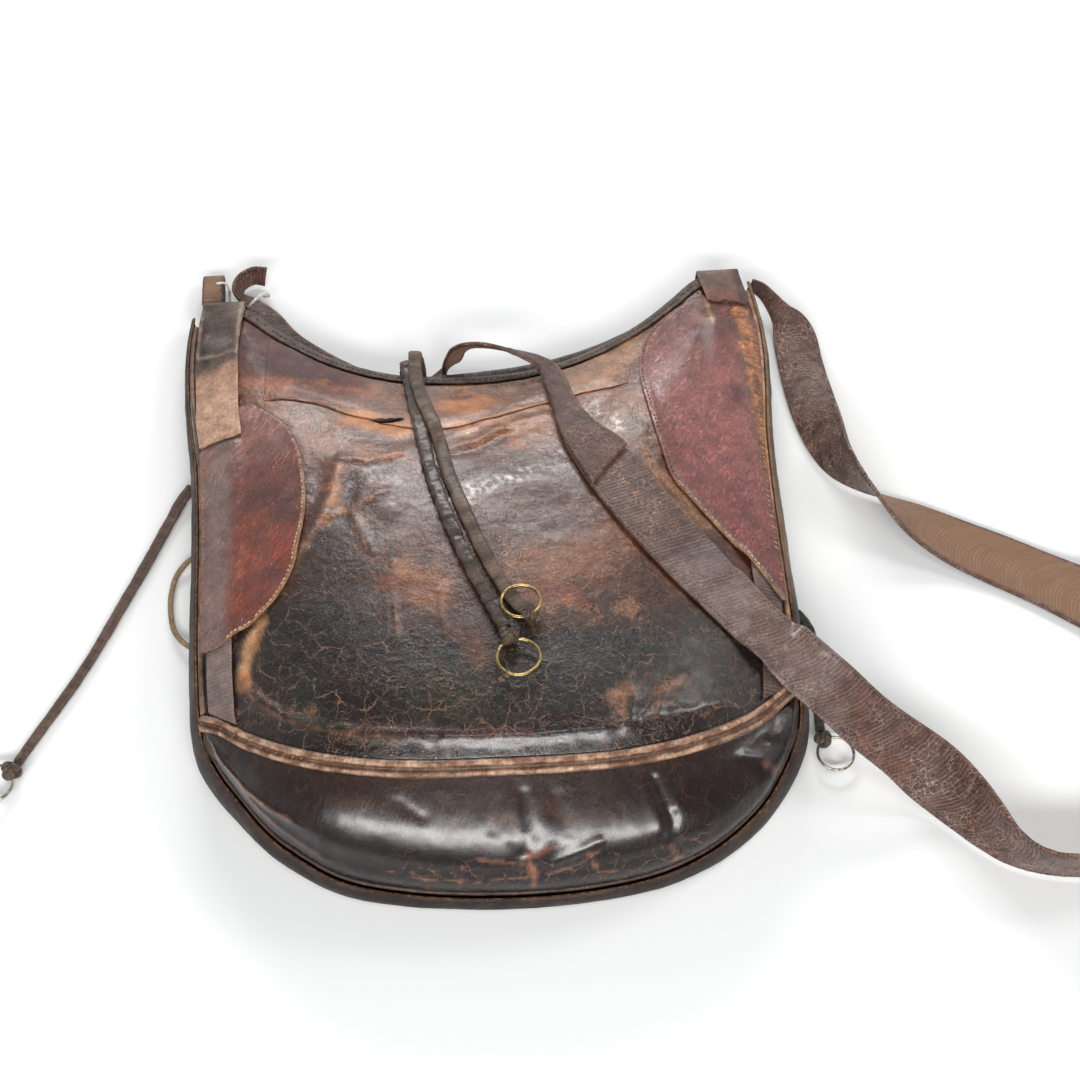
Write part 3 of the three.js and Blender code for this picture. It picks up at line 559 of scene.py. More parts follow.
def cellEdges(tree, vector, scale):
    return put(tree, "ShaderNodeTexVoronoi", {"Vector": vector, "Scale": scale},
               feature="DISTANCE_TO_EDGE").outputs["Distance"]


def ridgeOf(tree, value):
    return maths(tree, "ABSOLUTE", maths(tree, "SUBTRACT", value, 0.5))


def grainGroup():
    # fine pebbles of the hide, its wrinkles, and its mottled and flecked tone
    tree, given, result = group("hideGrain", {"Pebble": 1100.0, "Wrinkles": 320.0, "Mottle": 90.0},
                                ("Height", "Wrinkle", "Tone", "Fleck"))
    vector = given["Vector"]
    bent = bentPlace(tree, vector, 420.0, 2.0, 0.5, 0.0009)
    pebble = ramp(tree, cellEdges(tree, bent, given["Pebble"]), 0.0, 0.32)
    height = timesPlus(tree, noiseOf(tree, vector, 2600.0, 4.0), 0.35, times(tree, pebble, 0.65))
    wave = noiseOf(tree, vector, given["Wrinkles"], 4.0, 0.6, 0.25)
    valley = ramp(tree, ridgeOf(tree, wave), 0.0, 0.09)
    feed(tree, result, {
        "Height": height, "Wrinkle": timesPlus(tree, valley, 0.03, wave),
        "Tone": ramp(tree, noiseOf(tree, vector, given["Mottle"], 7.0, 0.68), 0.3, 0.68),
        "Fleck": ramp(tree, noiseOf(tree, vector, 620.0, 5.0, 0.72), 0.36, 0.62)})
    return tree


def crackleGroup():
    # a net of cracks that come and go
    tree, given, result = group("crackle", {"Scale": 110.0, "Width": 0.05, "Seed": 0.0}, ("Line",))
    shift = put(tree, "ShaderNodeCombineXYZ", {0: given["Seed"], 1: given["Seed"]})
    moved = put(tree, "ShaderNodeVectorMath", {0: bentPlace(tree, given["Vector"], 190.0, 3.0, 0.6, 0.0065),
                                               1: shift.outputs[0]}, operation="ADD").outputs[0]
    line = ramp(tree, cellEdges(tree, moved, given["Scale"]), given["Width"], 0.0)
    come = ramp(tree, noiseOf(tree, moved, 90.0, 4.0, 0.7), 0.4, 0.62)
    feed(tree, result, {"Line": times(tree, line, come)})
    return tree


def wearGroup():
    # rubbed places: edges, and a mask broken up by the grain
    tree, given, result = group("rubbed", {"Edge": 0.0, "Reach": 0.5, "Scuffs": 0.3}, ("Mask", "Wisp"))
    broken = noiseOf(tree, given["Vector"], 520.0, 6.0, 0.7)
    lift = maths(tree, "SUBTRACT", maths(tree, "ADD", given["Edge"], broken), 0.5)
    border = ramp(tree, maths(tree, "SUBTRACT", lift, maths(tree, "SUBTRACT", 1.0, given["Reach"])), -0.06, 0.2)
    patch = noiseOf(tree, given["Vector"], 105.0, 9.0, 0.74, 0.6)
    rub = ramp(tree, maths(tree, "ADD", patch, times(tree, given["Scuffs"], 0.4)), 0.72, 0.84)
    # thin wandering scratches
    drift = times(tree, noiseOf(tree, given["Vector"], 150.0, 3.0, 0.62, 1.1), 7.0)
    wisp = ramp(tree, ridgeOf(tree, maths(tree, "FRACT", drift)), 0.09, 0.0)
    feed(tree, result, {"Mask": maths(tree, "MAXIMUM", border, rub),
                        "Wisp": times(tree, wisp, ramp(tree, broken, 0.4, 0.6))})
    return tree


def creaseGroup():
    # fine creases across a run: U runs along, V across
    tree, given, result = group("creases", {"Pitch": 700.0, "Stretch": 0.14, "Ripple": 0.0},
                                ("Height", "Line", "CrestHighlight"))
    parts = put(tree, "ShaderNodeSeparateXYZ", {0: given["Vector"]})
    thinV = times(tree, parts.outputs[1], given["Stretch"])
    place = put(tree, "ShaderNodeCombineXYZ", {0: parts.outputs[0], 1: thinV, 2: parts.outputs[2]}).outputs[0]
    ridge = ridgeOf(tree, noiseOf(tree, place, given["Pitch"], 5.0, 0.62, 0.5))
    ripple = put(tree, "ShaderNodeTexWave", {
        "Vector": place, "Scale": times(tree, given["Pitch"], 0.314), "Distortion": 3.4,
        "Detail": 4.0, "Detail Scale": 2.8, "Detail Roughness": 0.7},
        wave_type="BANDS", bands_direction="X", wave_profile="SIN").outputs["Fac"]
    broken = noiseOf(tree, place, times(tree, given["Pitch"], 0.4), 4.0, 0.65)
    fine = times(tree, ramp(tree, ridge, 0.0, 0.11), maths(tree, "SUBTRACT", 1.0, given["Ripple"]))
    feed(tree, result, {
        "Height": timesPlus(tree, ripple, given["Ripple"], fine),
        "Line": ramp(tree, ridge, 0.035, 0.0),
        # the last output marks the ripples' crests, where a painted highlight goes
        "CrestHighlight": times(tree, ramp(tree, ripple, 0.3, 0.95), ramp(tree, broken, 0.36, 0.62))})
    return tree


groups = {"grain": grainGroup(), "crackle": crackleGroup(), "wear": wearGroup(), "crease": creaseGroup()}
print("shader groups built")


def mixColour(tree, a, b, t):
    return put(tree, "ShaderNodeMix", {0: t, 6: a, 7: b}, data_type="RGBA").outputs[2]


def rgba(code):
    return (*shade(code), 1.0)


def useGroup(tree, name, inputs):
    return put(tree, "ShaderNodeGroup", inputs, node_tree=groups[name]).outputs


def newMaterial(name):
    material = bpy.data.materials.new(name)
    material.use_nodes = True
    tree = material.node_tree
    return material, tree, tree.nodes["Principled BSDF"], put(tree, "ShaderNodeTexCoord").outputs["Object"]


def leather(name, look):
    # painted leather: tint, crack, worn, rough, rim and flesh come from the piece's own attributes,
    # and every depth is in millimetres
    material, tree, shader, place = newMaterial(name)
    read = {label: put(tree, "ShaderNodeAttribute", attribute_name=label)
            for label in ("tint", "crack", "worn", "rough", "rim", "flesh", "shine")}
    grain = useGroup(tree, "grain", {"Vector": place, "Pebble": look["pebble"], "Wrinkles": look["wrinkles"],
                                     "Mottle": look["mottle"]})
    fac = {label: node.outputs["Fac"] for label, node in read.items()}
    tint = read["tint"].outputs["Color"]
    dark = mixColour(tree, tint, rgba(look["dark"]), look["darkPart"])
    colour = mixColour(tree, dark, tint, grain["Tone"])
    speck = times(tree, maths(tree, "SUBTRACT", 1.0, grain["Fleck"]), look["fleckPart"])
    colour = mixColour(tree, colour, rgba(look["dark"]), speck)
    wear = useGroup(tree, "wear", {"Vector": place, "Edge": fac["rim"], "Reach": look["edgeWear"],
                                   "Scuffs": look["scuffs"]})
    bare = timesPlus(tree, grain["Tone"], 0.7, times(tree, grain["Fleck"], 0.4))
    bare = ramp(tree, maths(tree, "ADD", fac["worn"], bare), 0.85, 1.75)
    wisps = times(tree, wear["Wisp"], maths(tree, "MINIMUM", fac["worn"], 0.8))
    rubbed = maths(tree, "MAXIMUM", wear["Mask"], maths(tree, "MAXIMUM", bare, wisps))
    colour = mixColour(tree, colour, rgba(look["worn"]), times(tree, rubbed, look["wornPart"]))
    wide = useGroup(tree, "crackle", {"Vector": place, "Scale": look["crackScale"], "Width": look["crackWidth"],
                                      "Seed": 0.0})
    narrow = useGroup(tree, "crackle", {"Vector": place, "Scale": look["crackScale"] * 3.1,
                                        "Width": look["crackWidth"] * 1.5, "Seed": 0.37})
    line = maths(tree, "MAXIMUM", wide["Line"], times(tree, narrow["Line"], 0.5))
    line = times(tree, line, fac["crack"])
    cracked = times(tree, line, look["crackPart"])
    colour = mixColour(tree, colour, rgba(look["crackColour"]), cracked)
    colour = mixColour(tree, colour, rgba(look["fleshColour"]), fac["flesh"])
    rough = timesPlus(tree, rubbed, 0.16, fac["rough"])
    rough = timesPlus(tree, grain["Tone"], -0.08, rough)
    rough = timesPlus(tree, fac["flesh"], 0.3, rough)
    bump = times(tree, grain["Height"], look["grain"])
    bump = timesPlus(tree, grain["Wrinkle"], look["wrinkle"], bump)
    bump = timesPlus(tree, line, -look["crackDepth"], bump)
    if look["crease"]:
        run = put(tree, "ShaderNodeUVMap", uv_map="run").outputs[0] if look["creaseRun"] == "run" else (
            put(tree, "ShaderNodeMapping", {"Vector": place, "Rotation": (0, 0, look["creaseRun"])}).outputs[0])
        lines = useGroup(tree, "crease", {"Vector": run, "Pitch": look["creasePitch"],
                                          "Stretch": look["creaseStretch"], "Ripple": look["ripple"]})
        bump = timesPlus(tree, lines["Height"], look["crease"], bump)
        # dark along the crease lines, and a painted highlight on the ripple crests
        for label, key in (("Line", "crease"), ("CrestHighlight", "crest")):
            part = times(tree, lines[label], look[key + "Part"])
            colour = mixColour(tree, colour, rgba(look[key + "Colour"]), part)
    feed(tree, shader, {
        "Base Color": colour, "Roughness": rough, "Coat Roughness": look["coatRough"],
        "Normal": put(tree, "ShaderNodeBump", {"Height": bump, "Distance": 0.001}).outputs[0],
        "Coat Weight": timesPlus(tree, fac["shine"], 0.8, look["coat"]),
        "Specular IOR Level": look["gloss"]})
    return material


baseLook = {
    "pebble": 1000.0, "grain": 0.08, "wrinkles": 300.0, "wrinkle": 0.5, "mottle": 95.0, "dark": "0f0a09",
    "darkPart": 0.5, "fleckPart": 0.35, "worn": "ad7850", "edgeWear": 0.05, "scuffs": 0.12, "wornPart": 0.65,
    "crackScale": 75.0, "crackWidth": 0.03, "crackColour": "8a6347", "crackPart": 0.7, "crackDepth": 0.16,
    "fleshColour": "6b5140", "coat": 0.12, "coatRough": 0.2, "crease": 0.0,
    # the crest colour is a painted highlight on ripple crests, unused unless a look sets crestPart
    "crestColour": "a08874", "crestPart": 0.0, "ripple": 0.0, "gloss": 0.42,
}
bodyLeather = leather("satchelLeather", baseLook)
redLeather = leather("redLeather", baseLook | {
    "pebble": 780.0, "grain": 0.17, "worn": "b9825a", "crackColour": "3c1512", "crackScale": 130.0,
    "edgeWear": 0.0, "crease": 0.4, "creaseRun": 0.6, "creasePitch": 420.0, "creaseStretch": 0.3,
    "creaseColour": "2c0f0d", "creasePart": 0.5, "scuffs": 0.05, "wrinkle": 0.7, "gloss": 0.5, "coat": 0.18})
bandLeather = leather("polishedLeather", baseLook | {
    "worn": "7a4a30", "scuffs": 0.02, "coat": 0.0, "coatRough": 0.23, "gloss": 0.22, "grain": 0.03,
    "wrinkle": 0.2, "crease": 0.06, "creaseRun": "run", "creasePitch": 400.0, "creaseStretch": 0.12,
    "ripple": 0.5, "creaseColour": "120d0c", "creasePart": 0.15, "wrinkles": 200.0, "crackScale": 85.0,
    "crackColour": "94694c", "fleckPart": 0.45})
strapLeatherLook = leather("strapLeather", baseLook | {
    "dark": "150e0c", "worn": "a3683c", "crackColour": "b59a8b", "crackScale": 300.0, "crackWidth": 0.07,
    "crackPart": 0.75, "crackDepth": 0.1, "scuffs": 0.06, "crease": 0.16, "creaseRun": "run",
    "creasePitch": 470.0, "creaseStretch": 0.35, "ripple": 0.6,
    # its crest colour is a painted highlight on the ripple crests
    "creaseColour": "17100e", "creasePart": 0.12, "crestColour": "b8988a", "crestPart": 0.2,
    "fleshColour": "7a5c46", "coat": 0.0, "gloss": 0.38, "wrinkle": 0.2, "edgeWear": 0.04})
sideLeather = leather("gussetLeather", baseLook | {"coat": 0.0, "gloss": 0.25, "scuffs": 0.2})
tabLeather = leather("tabLeather", baseLook | {
    "worn": "c09468", "mottle": 160.0, "edgeWear": 0.08, "scuffs": 0.16, "grain": 0.1, "coat": 0.0})
pipingLeather = leather("pipingLeather", baseLook | {
    "worn": "c58d5c", "mottle": 210.0, "dark": "2c1a12", "crackColour": "2b1a12", "crackScale": 120.0,
    "edgeWear": 0.0, "scuffs": 0.2, "crease": 0.12, "creaseRun": "run", "creasePitch": 330.0,
    "creaseStretch": 0.002, "wrinkle": 0.35, "creaseColour": "2c1a12", "creasePart": 0.45, "coat": 0.1})
thongLeather = leather("thongLeather", baseLook | {
    "worn": "8f6c50", "mottle": 260.0, "edgeWear": 0.0, "scuffs": 0.12, "crease": 0.3,
    "creaseRun": "run", "creasePitch": 900.0, "creaseStretch": 0.0015, "creaseColour": "1d1714",
    # crestPart lays a painted highlight on the crests, in the default crest colour
    "creasePart": 0.4, "crestPart": 0.2, "coat": 0.1, "gloss": 0.35, "wrinkle": 0.6, "crackColour": "2c2320"})


def simpleMaterial(name, look):
    # threads and metals: two tones in spots, and a fine bump
    material, tree, shader, place = newMaterial(name)
    spots = ramp(tree, noiseOf(tree, place, *look["spots"], 0.7), *look["spread"])
    bump = put(tree, "ShaderNodeBump", {"Height": noiseOf(tree, place, *look["fine"]), "Distance": look["deep"],
                                        "Strength": look["strength"]})
    feed(tree, shader, {
        "Base Color": mixColour(tree, rgba(look["light"]), rgba(look["dark"]), spots),
        "Roughness": timesPlus(tree, spots, look["rougher"], look["rough"]),
        "Metallic": look["metal"], "Normal": bump.outputs[0]})
    return material


metalLook = {"spots": (420.0, 6.0), "spread": (0.42, 0.66), "fine": (1500.0, 3.0), "deep": 0.0001,
             "strength": 0.35, "rougher": 0.2, "metal": 1.0}
threadLook = {"spots": (260.0, 5.0), "spread": (0.35, 0.68), "fine": (3200.0, 2.0), "deep": 0.0002,
              "strength": 0.8, "rougher": 0.0, "rough": 0.85, "metal": 0.0}
brass = simpleMaterial("wornBrass", metalLook | {"light": "b59c66", "dark": "6a5638", "rough": 0.3})
steel = simpleMaterial("dullSteel", metalLook | {"light": "b9b4aa", "dark": "5d564c", "rough": 0.34})
creamThread = simpleMaterial("creamThread", threadLook | {"light": "d8b992", "dark": "8a6445"})
tanThread = simpleMaterial("tanThread", threadLook | {"light": "a98468", "dark": "5d4335"})
darkThread = simpleMaterial("darkThread", threadLook | {"light": "4a372c", "dark": "1f1714"})
whiteString = simpleMaterial("whiteString", threadLook | {"light": "e2e0da", "dark": "a9a39a"})
print("materials built")


# thongs: each a free cord from inside or under the bag, to its knot or back into the bag

thongs = {
    "front_thong_left": {
        "width": 8, "thick": 3.8, "taper": 0.1, "tint": ("2c1f1a", "6a554a"), "groove": 0.5, "wrinkle": 0.5,
        "shine": 0.3,
        "inside": ((-43, 108.5, 11.3), (-42.6, 116.5, 12.2), (-42.4, 121.8, 14.6), (-42.1, 125.6, 18.8),
                   (-41.7, 126, 24), (-41.2, 122.4, 28.4)),
        "over": ((-40.4, 114.5, 3), (-39.2, 104, 1.2), (-37.8, 90, 0.9), (-35.2, 68, 0.8), (-32.2, 46, 0.8),
                 (-29, 26, 0.8), (-24.6, 5, 0.8), (-19.4, -15, 0.8), (-14.2, -33, 0.8), (-8.4, -49.5, 0.8),
                 (-2.4, -65, 0.9), (3.8, -81.4, 1.2)),
    },
    "front_thong_right": {
        "width": 8, "thick": 3, "taper": 0.08, "tint": ("4a382c", "8e7460"), "groove": 0.0, "wrinkle": 0.15,
        "inside": ((-34.1, 115, 11.8), (-34.1, 121.6, 12.6), (-34.6, 127.2, 16.4), (-35.2, 129.8, 23.4),
                   (-36, 127.6, 31.2)),
        "over": ((-36.4, 117, 7.8), (-36, 106, 6.4), (-34.4, 95, 5.6), (-32.2, 83, 5.1), (-29.2, 71, 4.8),
                 (-26.2, 60, 3.2), (-23.2, 46, 1.1),
                 (-20.2, 25.5, 0.8), (-14.9, 4, 0.8), (-9.2, -16, 0.8), (-3.8, -33.5, 0.8), (2.4, -50, 0.9),
                 (8, -62.5, 0.9), (13.6, -72, 1.2)),
    },
    "left_thong": {
        "width": 6.6, "thick": 3.4, "taper": 0.2, "tint": ("5f4a3d", "85695a"), "groove": 0.9, "wrinkle": 0.15,
        "inside": ((-167, 61, 4.4), (-172.5, 53, 3.4), (-176.4, 44.5, 2.7), (-180.6, 35.5, 2.3),
                   (-188, 17.9, 2.2), (-195.8, 0.4, 2.2), (-203.6, -16.6, 2.2), (-211.2, -33.4, 2.2),
                   (-219.2, -49.7, 2.2), (-228, -65.6, 2.2), (-237.2, -81, 2.2), (-243, -91, 2.4),
                   (-249, -102, 3)),
    },
    "left_lace": {
        "width": 3, "thick": 2.4, "taper": 0.0, "tint": ("a98961", "c9ad84"), "groove": 0.0, "wrinkle": 0.1,
        "inside": ((-162.9, 15, 4.6), (-167.8, 12, 3.2), (-173, 5, 1.8), (-175.4, -5, 1.6), (-175.4, -17, 1.6),
                   (-173, -29, 1.8), (-167.8, -37.5, 3.2), (-161.8, -43, 4.8)),
    },
    "right_thong": {
        "width": 6, "thick": 3, "taper": 0.1, "tint": ("2e2622", "4b3e35"), "groove": 0.4, "wrinkle": 0.2,
        "inside": ((162.8, -45, 5), (167.2, -52, 3.6), (169.6, -64, 2.4), (169.4, -80, 2), (167.4, -95, 2),
                   (165, -108, 2.4), (164.6, -114, 2.8)),
    },
}
knots = {
    "front_knot_left": {"at": (5.4, -88.2), "lift": 4.6, "size": (6.2, 5.8, 4), "turn": -0.5, "strand": 2.3},
    "front_knot_right": {"at": (16.4, -76.4), "lift": 4.4, "size": (5.4, 4.8, 3.6), "turn": 0.4, "strand": 2.0},
    "left_knot": {"at": (-251.4, -107), "z": 4.7, "size": (6.4, 5.8, 4.2), "turn": -0.5, "strand": 2.4},
    "right_knot": {"at": (165, -119.6), "z": 4.3, "size": (5.6, 5.2, 3.8), "turn": 0.3, "strand": 2.1},
}
rings = {
    "front_ring_left": {"at": (9.4, -100.2), "lift": 4, "radius": 10.3, "wire": 0.85},
    "front_ring_right": {"at": (12.6, -68.8), "lift": 5.6, "radius": 9.6, "wire": 0.85},
    "left_ring": {"at": (-260.3, -112.9), "z": 4.2, "radius": 10.3, "wire": 0.85},
    "right_ring": {"at": (170.2, -127.6), "z": 3.6, "radius": 9.2, "wire": 0.75},
}


def settled(points, piece):
    # a shape made flat about the origin, laid at its place on the front or on the floor
    points = np.asarray(points, float)
    turn = piece.get("turn", 0.0)
    x = points[..., 0] * np.cos(turn) - points[..., 1] * np.sin(turn)
    y = points[..., 0] * np.sin(turn) + points[..., 1] * np.cos(turn)
    points = np.stack([x, y, points[..., 2]], -1)
    px, py = piece["at"]
    if "z" in piece:
        return points + np.array([px, py, piece["z"]])
    place, out = onFront(px, py, piece["lift"])
    pose = Vector(up).rotation_difference(Vector(out)).to_matrix()
    return points @ np.array(pose).T + place


def cordPaint(tint, crack, rough, **more):
    # what every place of a round piece says; it has no cut edges
    zero = np.zeros(tint.shape[:-1])
    return {"tint": tint, "crack": zero + crack, "rough": zero + rough, "rim": zero, "flesh": zero, **more}


def turns(count):
    return np.arange(count) / count * 2 * np.pi


def thongPiece(name, look):
    route = [np.array(p, float) for p in look["inside"]]
    for x, y, lift in look.get("over", ()):
        route.append(np.array([x, y, float(restHeight(x, y)) + lift + look["thick"] / 2]))
    points = spaced(smoothLine(route), 1.6)
    part = np.linspace(0, 1, len(points))[:, None]
    side, top = framesAlong(points)
    angle = turns(20)
    s, t = np.cos(angle), np.sin(angle)
    s, t = np.sign(s) * np.abs(s) ** 0.8, np.sign(t) * np.abs(t) ** 0.7
    run = lengths(points)[:, None]
    wander = 1 + 0.05 * noise(run, 0, 11, 5, 2) + 0.5 * look["wrinkle"] * noise(run, angle[None] * 2, 2.2, 8, 2)
    wide = look["width"] / 2 * (1 - look["taper"] * part) * wander * 0.97
    thick = look["thick"] / 2 * wander * 0.97
    dip = look["groove"] * np.exp(-((s + 0.2) / 0.22) ** 2) * (t > 0) * (0.7 + 0.5 * noise(run, 0, 9, 2))
    shape = np.stack([s * wide, t * thick - dip], -1)
    low, high = shade(look["tint"][0]), shade(look["tint"][1])
    blend = smooth(0.5 + 0.6 * noise(run, angle[None], 5, 4, 3))[..., None]
    paint = cordPaint(varied(mix(low, high, blend), -0.35 * smooth(dip / 0.4)), 0.3, 0.5 + 0.05 * blend[..., 0],
                      shine=look.get("shine", 0.0) * smooth(0.5 + noise(run, angle[None] * 3, 1.6, 6, 2)))
    return tube(name + "_leather", points, side, top, shape, thongLeather, paint), points


def knotPiece(name, look):
    # an overhand knot pulled tight
    t = np.linspace(0, 2 * np.pi, 73)[:-1]
    x, y, z = np.sin(t) + 2 * np.sin(2 * t), np.cos(t) - 2 * np.cos(2 * t), -np.sin(3 * t)
    strand = look["strand"]
    sx, sy, sz = look["size"]
    path = np.stack([x / 3 * (sx - strand), y / 3 * (sy - strand), z * (sz - strand) * 0.9], -1)
    points = settled(path, look)
    run = unit(np.roll(points, -1, axis=0) - np.roll(points, 1, axis=0))
    centre = points.mean(axis=0)
    side = unit(np.cross(run, points - centre))
    top = np.cross(side, run)
    ring = oval(2 * strand * 1.1, 2 * strand * 0.8, 14)
    body = points[:, None] + side[:, None] * ring[:, :1] + top[:, None] * ring[:, 1:]
    rows, across = body.shape[:2]
    quads, p = ringQuads(body.shape), body.reshape(-1, 3)
    if not facesAway(p, quads, (p - np.repeat(points, across, axis=0))[quads[:, 0]]):
        quads = quads[:, ::-1]
    blend = smooth(0.5 + 0.6 * noise(np.repeat(t, across) * 9, np.tile(ring[:, 0], rows), 4, 6, 2))[:, None]
    uv = np.stack([np.repeat(t, across) * 0.004, np.tile(np.linspace(0, 1, across), rows)], -1)
    paint = cordPaint(mix(shade("3b2f28"), shade("6d5845"), blend), 0, 0.42)
    return makeObject(name + "_leather", p, quads.tolist(), thongLeather, paint, uv)


def ringPiece(name, look):
    t = np.linspace(0, 2 * np.pi, 97)[:-1]
    radius = look["radius"] * (1 + 0.008 * np.sin(2 * t + 1) + 0.004 * np.sin(3 * t))
    wire = look["wire"] * (1 + 0.03 * np.sin(5 * t) + 0.12 * np.exp(-((t - 2.2) / 0.05) ** 2))
    a = turns(12)
    r = radius[:, None] + wire[:, None] * np.cos(a)
    flat = np.stack([r * np.cos(t)[:, None], r * np.sin(t)[:, None],
                     np.broadcast_to(wire[:, None] * np.sin(a), r.shape)], -1)
    material = brass if name.startswith("front") else steel
    return makeObject(name + "_wire", settled(flat, look).reshape(-1, 3), ringQuads(r.shape).tolist(), material)


knotPieces = {name: knotPiece(name, look) for name, look in knots.items()}
ringPieces = {name: ringPiece(name, look) for name, look in rings.items()}
for name, piece in {**knotPieces, **ringPieces}.items():
    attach(piece, "root")
    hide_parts(name)
for name, look in thongs.items():
    piece, points = thongPiece(name, look)
    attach(piece, "root")
    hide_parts(name)
    knot = name.replace("thong", "knot")
    ends = {}
    if knot in knots:
        ends = {"with_pieces": [knotPieces[knot], ringPieces[knot.replace("knot", "ring")]]}
    # closer together where a front thong folds over the mouth
    parts = [*np.linspace(0, 0.14, 15), *np.linspace(0.17, 1, 24)]
print("thongs, knots and rings made")


# painting: strokes of colour laid over a ground, all by place on the bag

def painted(x, y, ground, strokes):
    # each stroke: its line, colour and strength, then its half width, soft rim, raggedness and seed
    colour = np.array(ground, float)
    for line, code, part, *form in strokes:
        colour = mix(colour, shade(code), (stroke(x, y, line, *form) * part)[..., None])
    return colour


def banded(at, stops):
    # a ground colour that changes with one measure
    keys = [key for key, code in stops]
    values = np.array([shade(code) for key, code in stops])
    return np.stack([np.interp(at, keys, values[:, i]) for i in range(3)], -1)


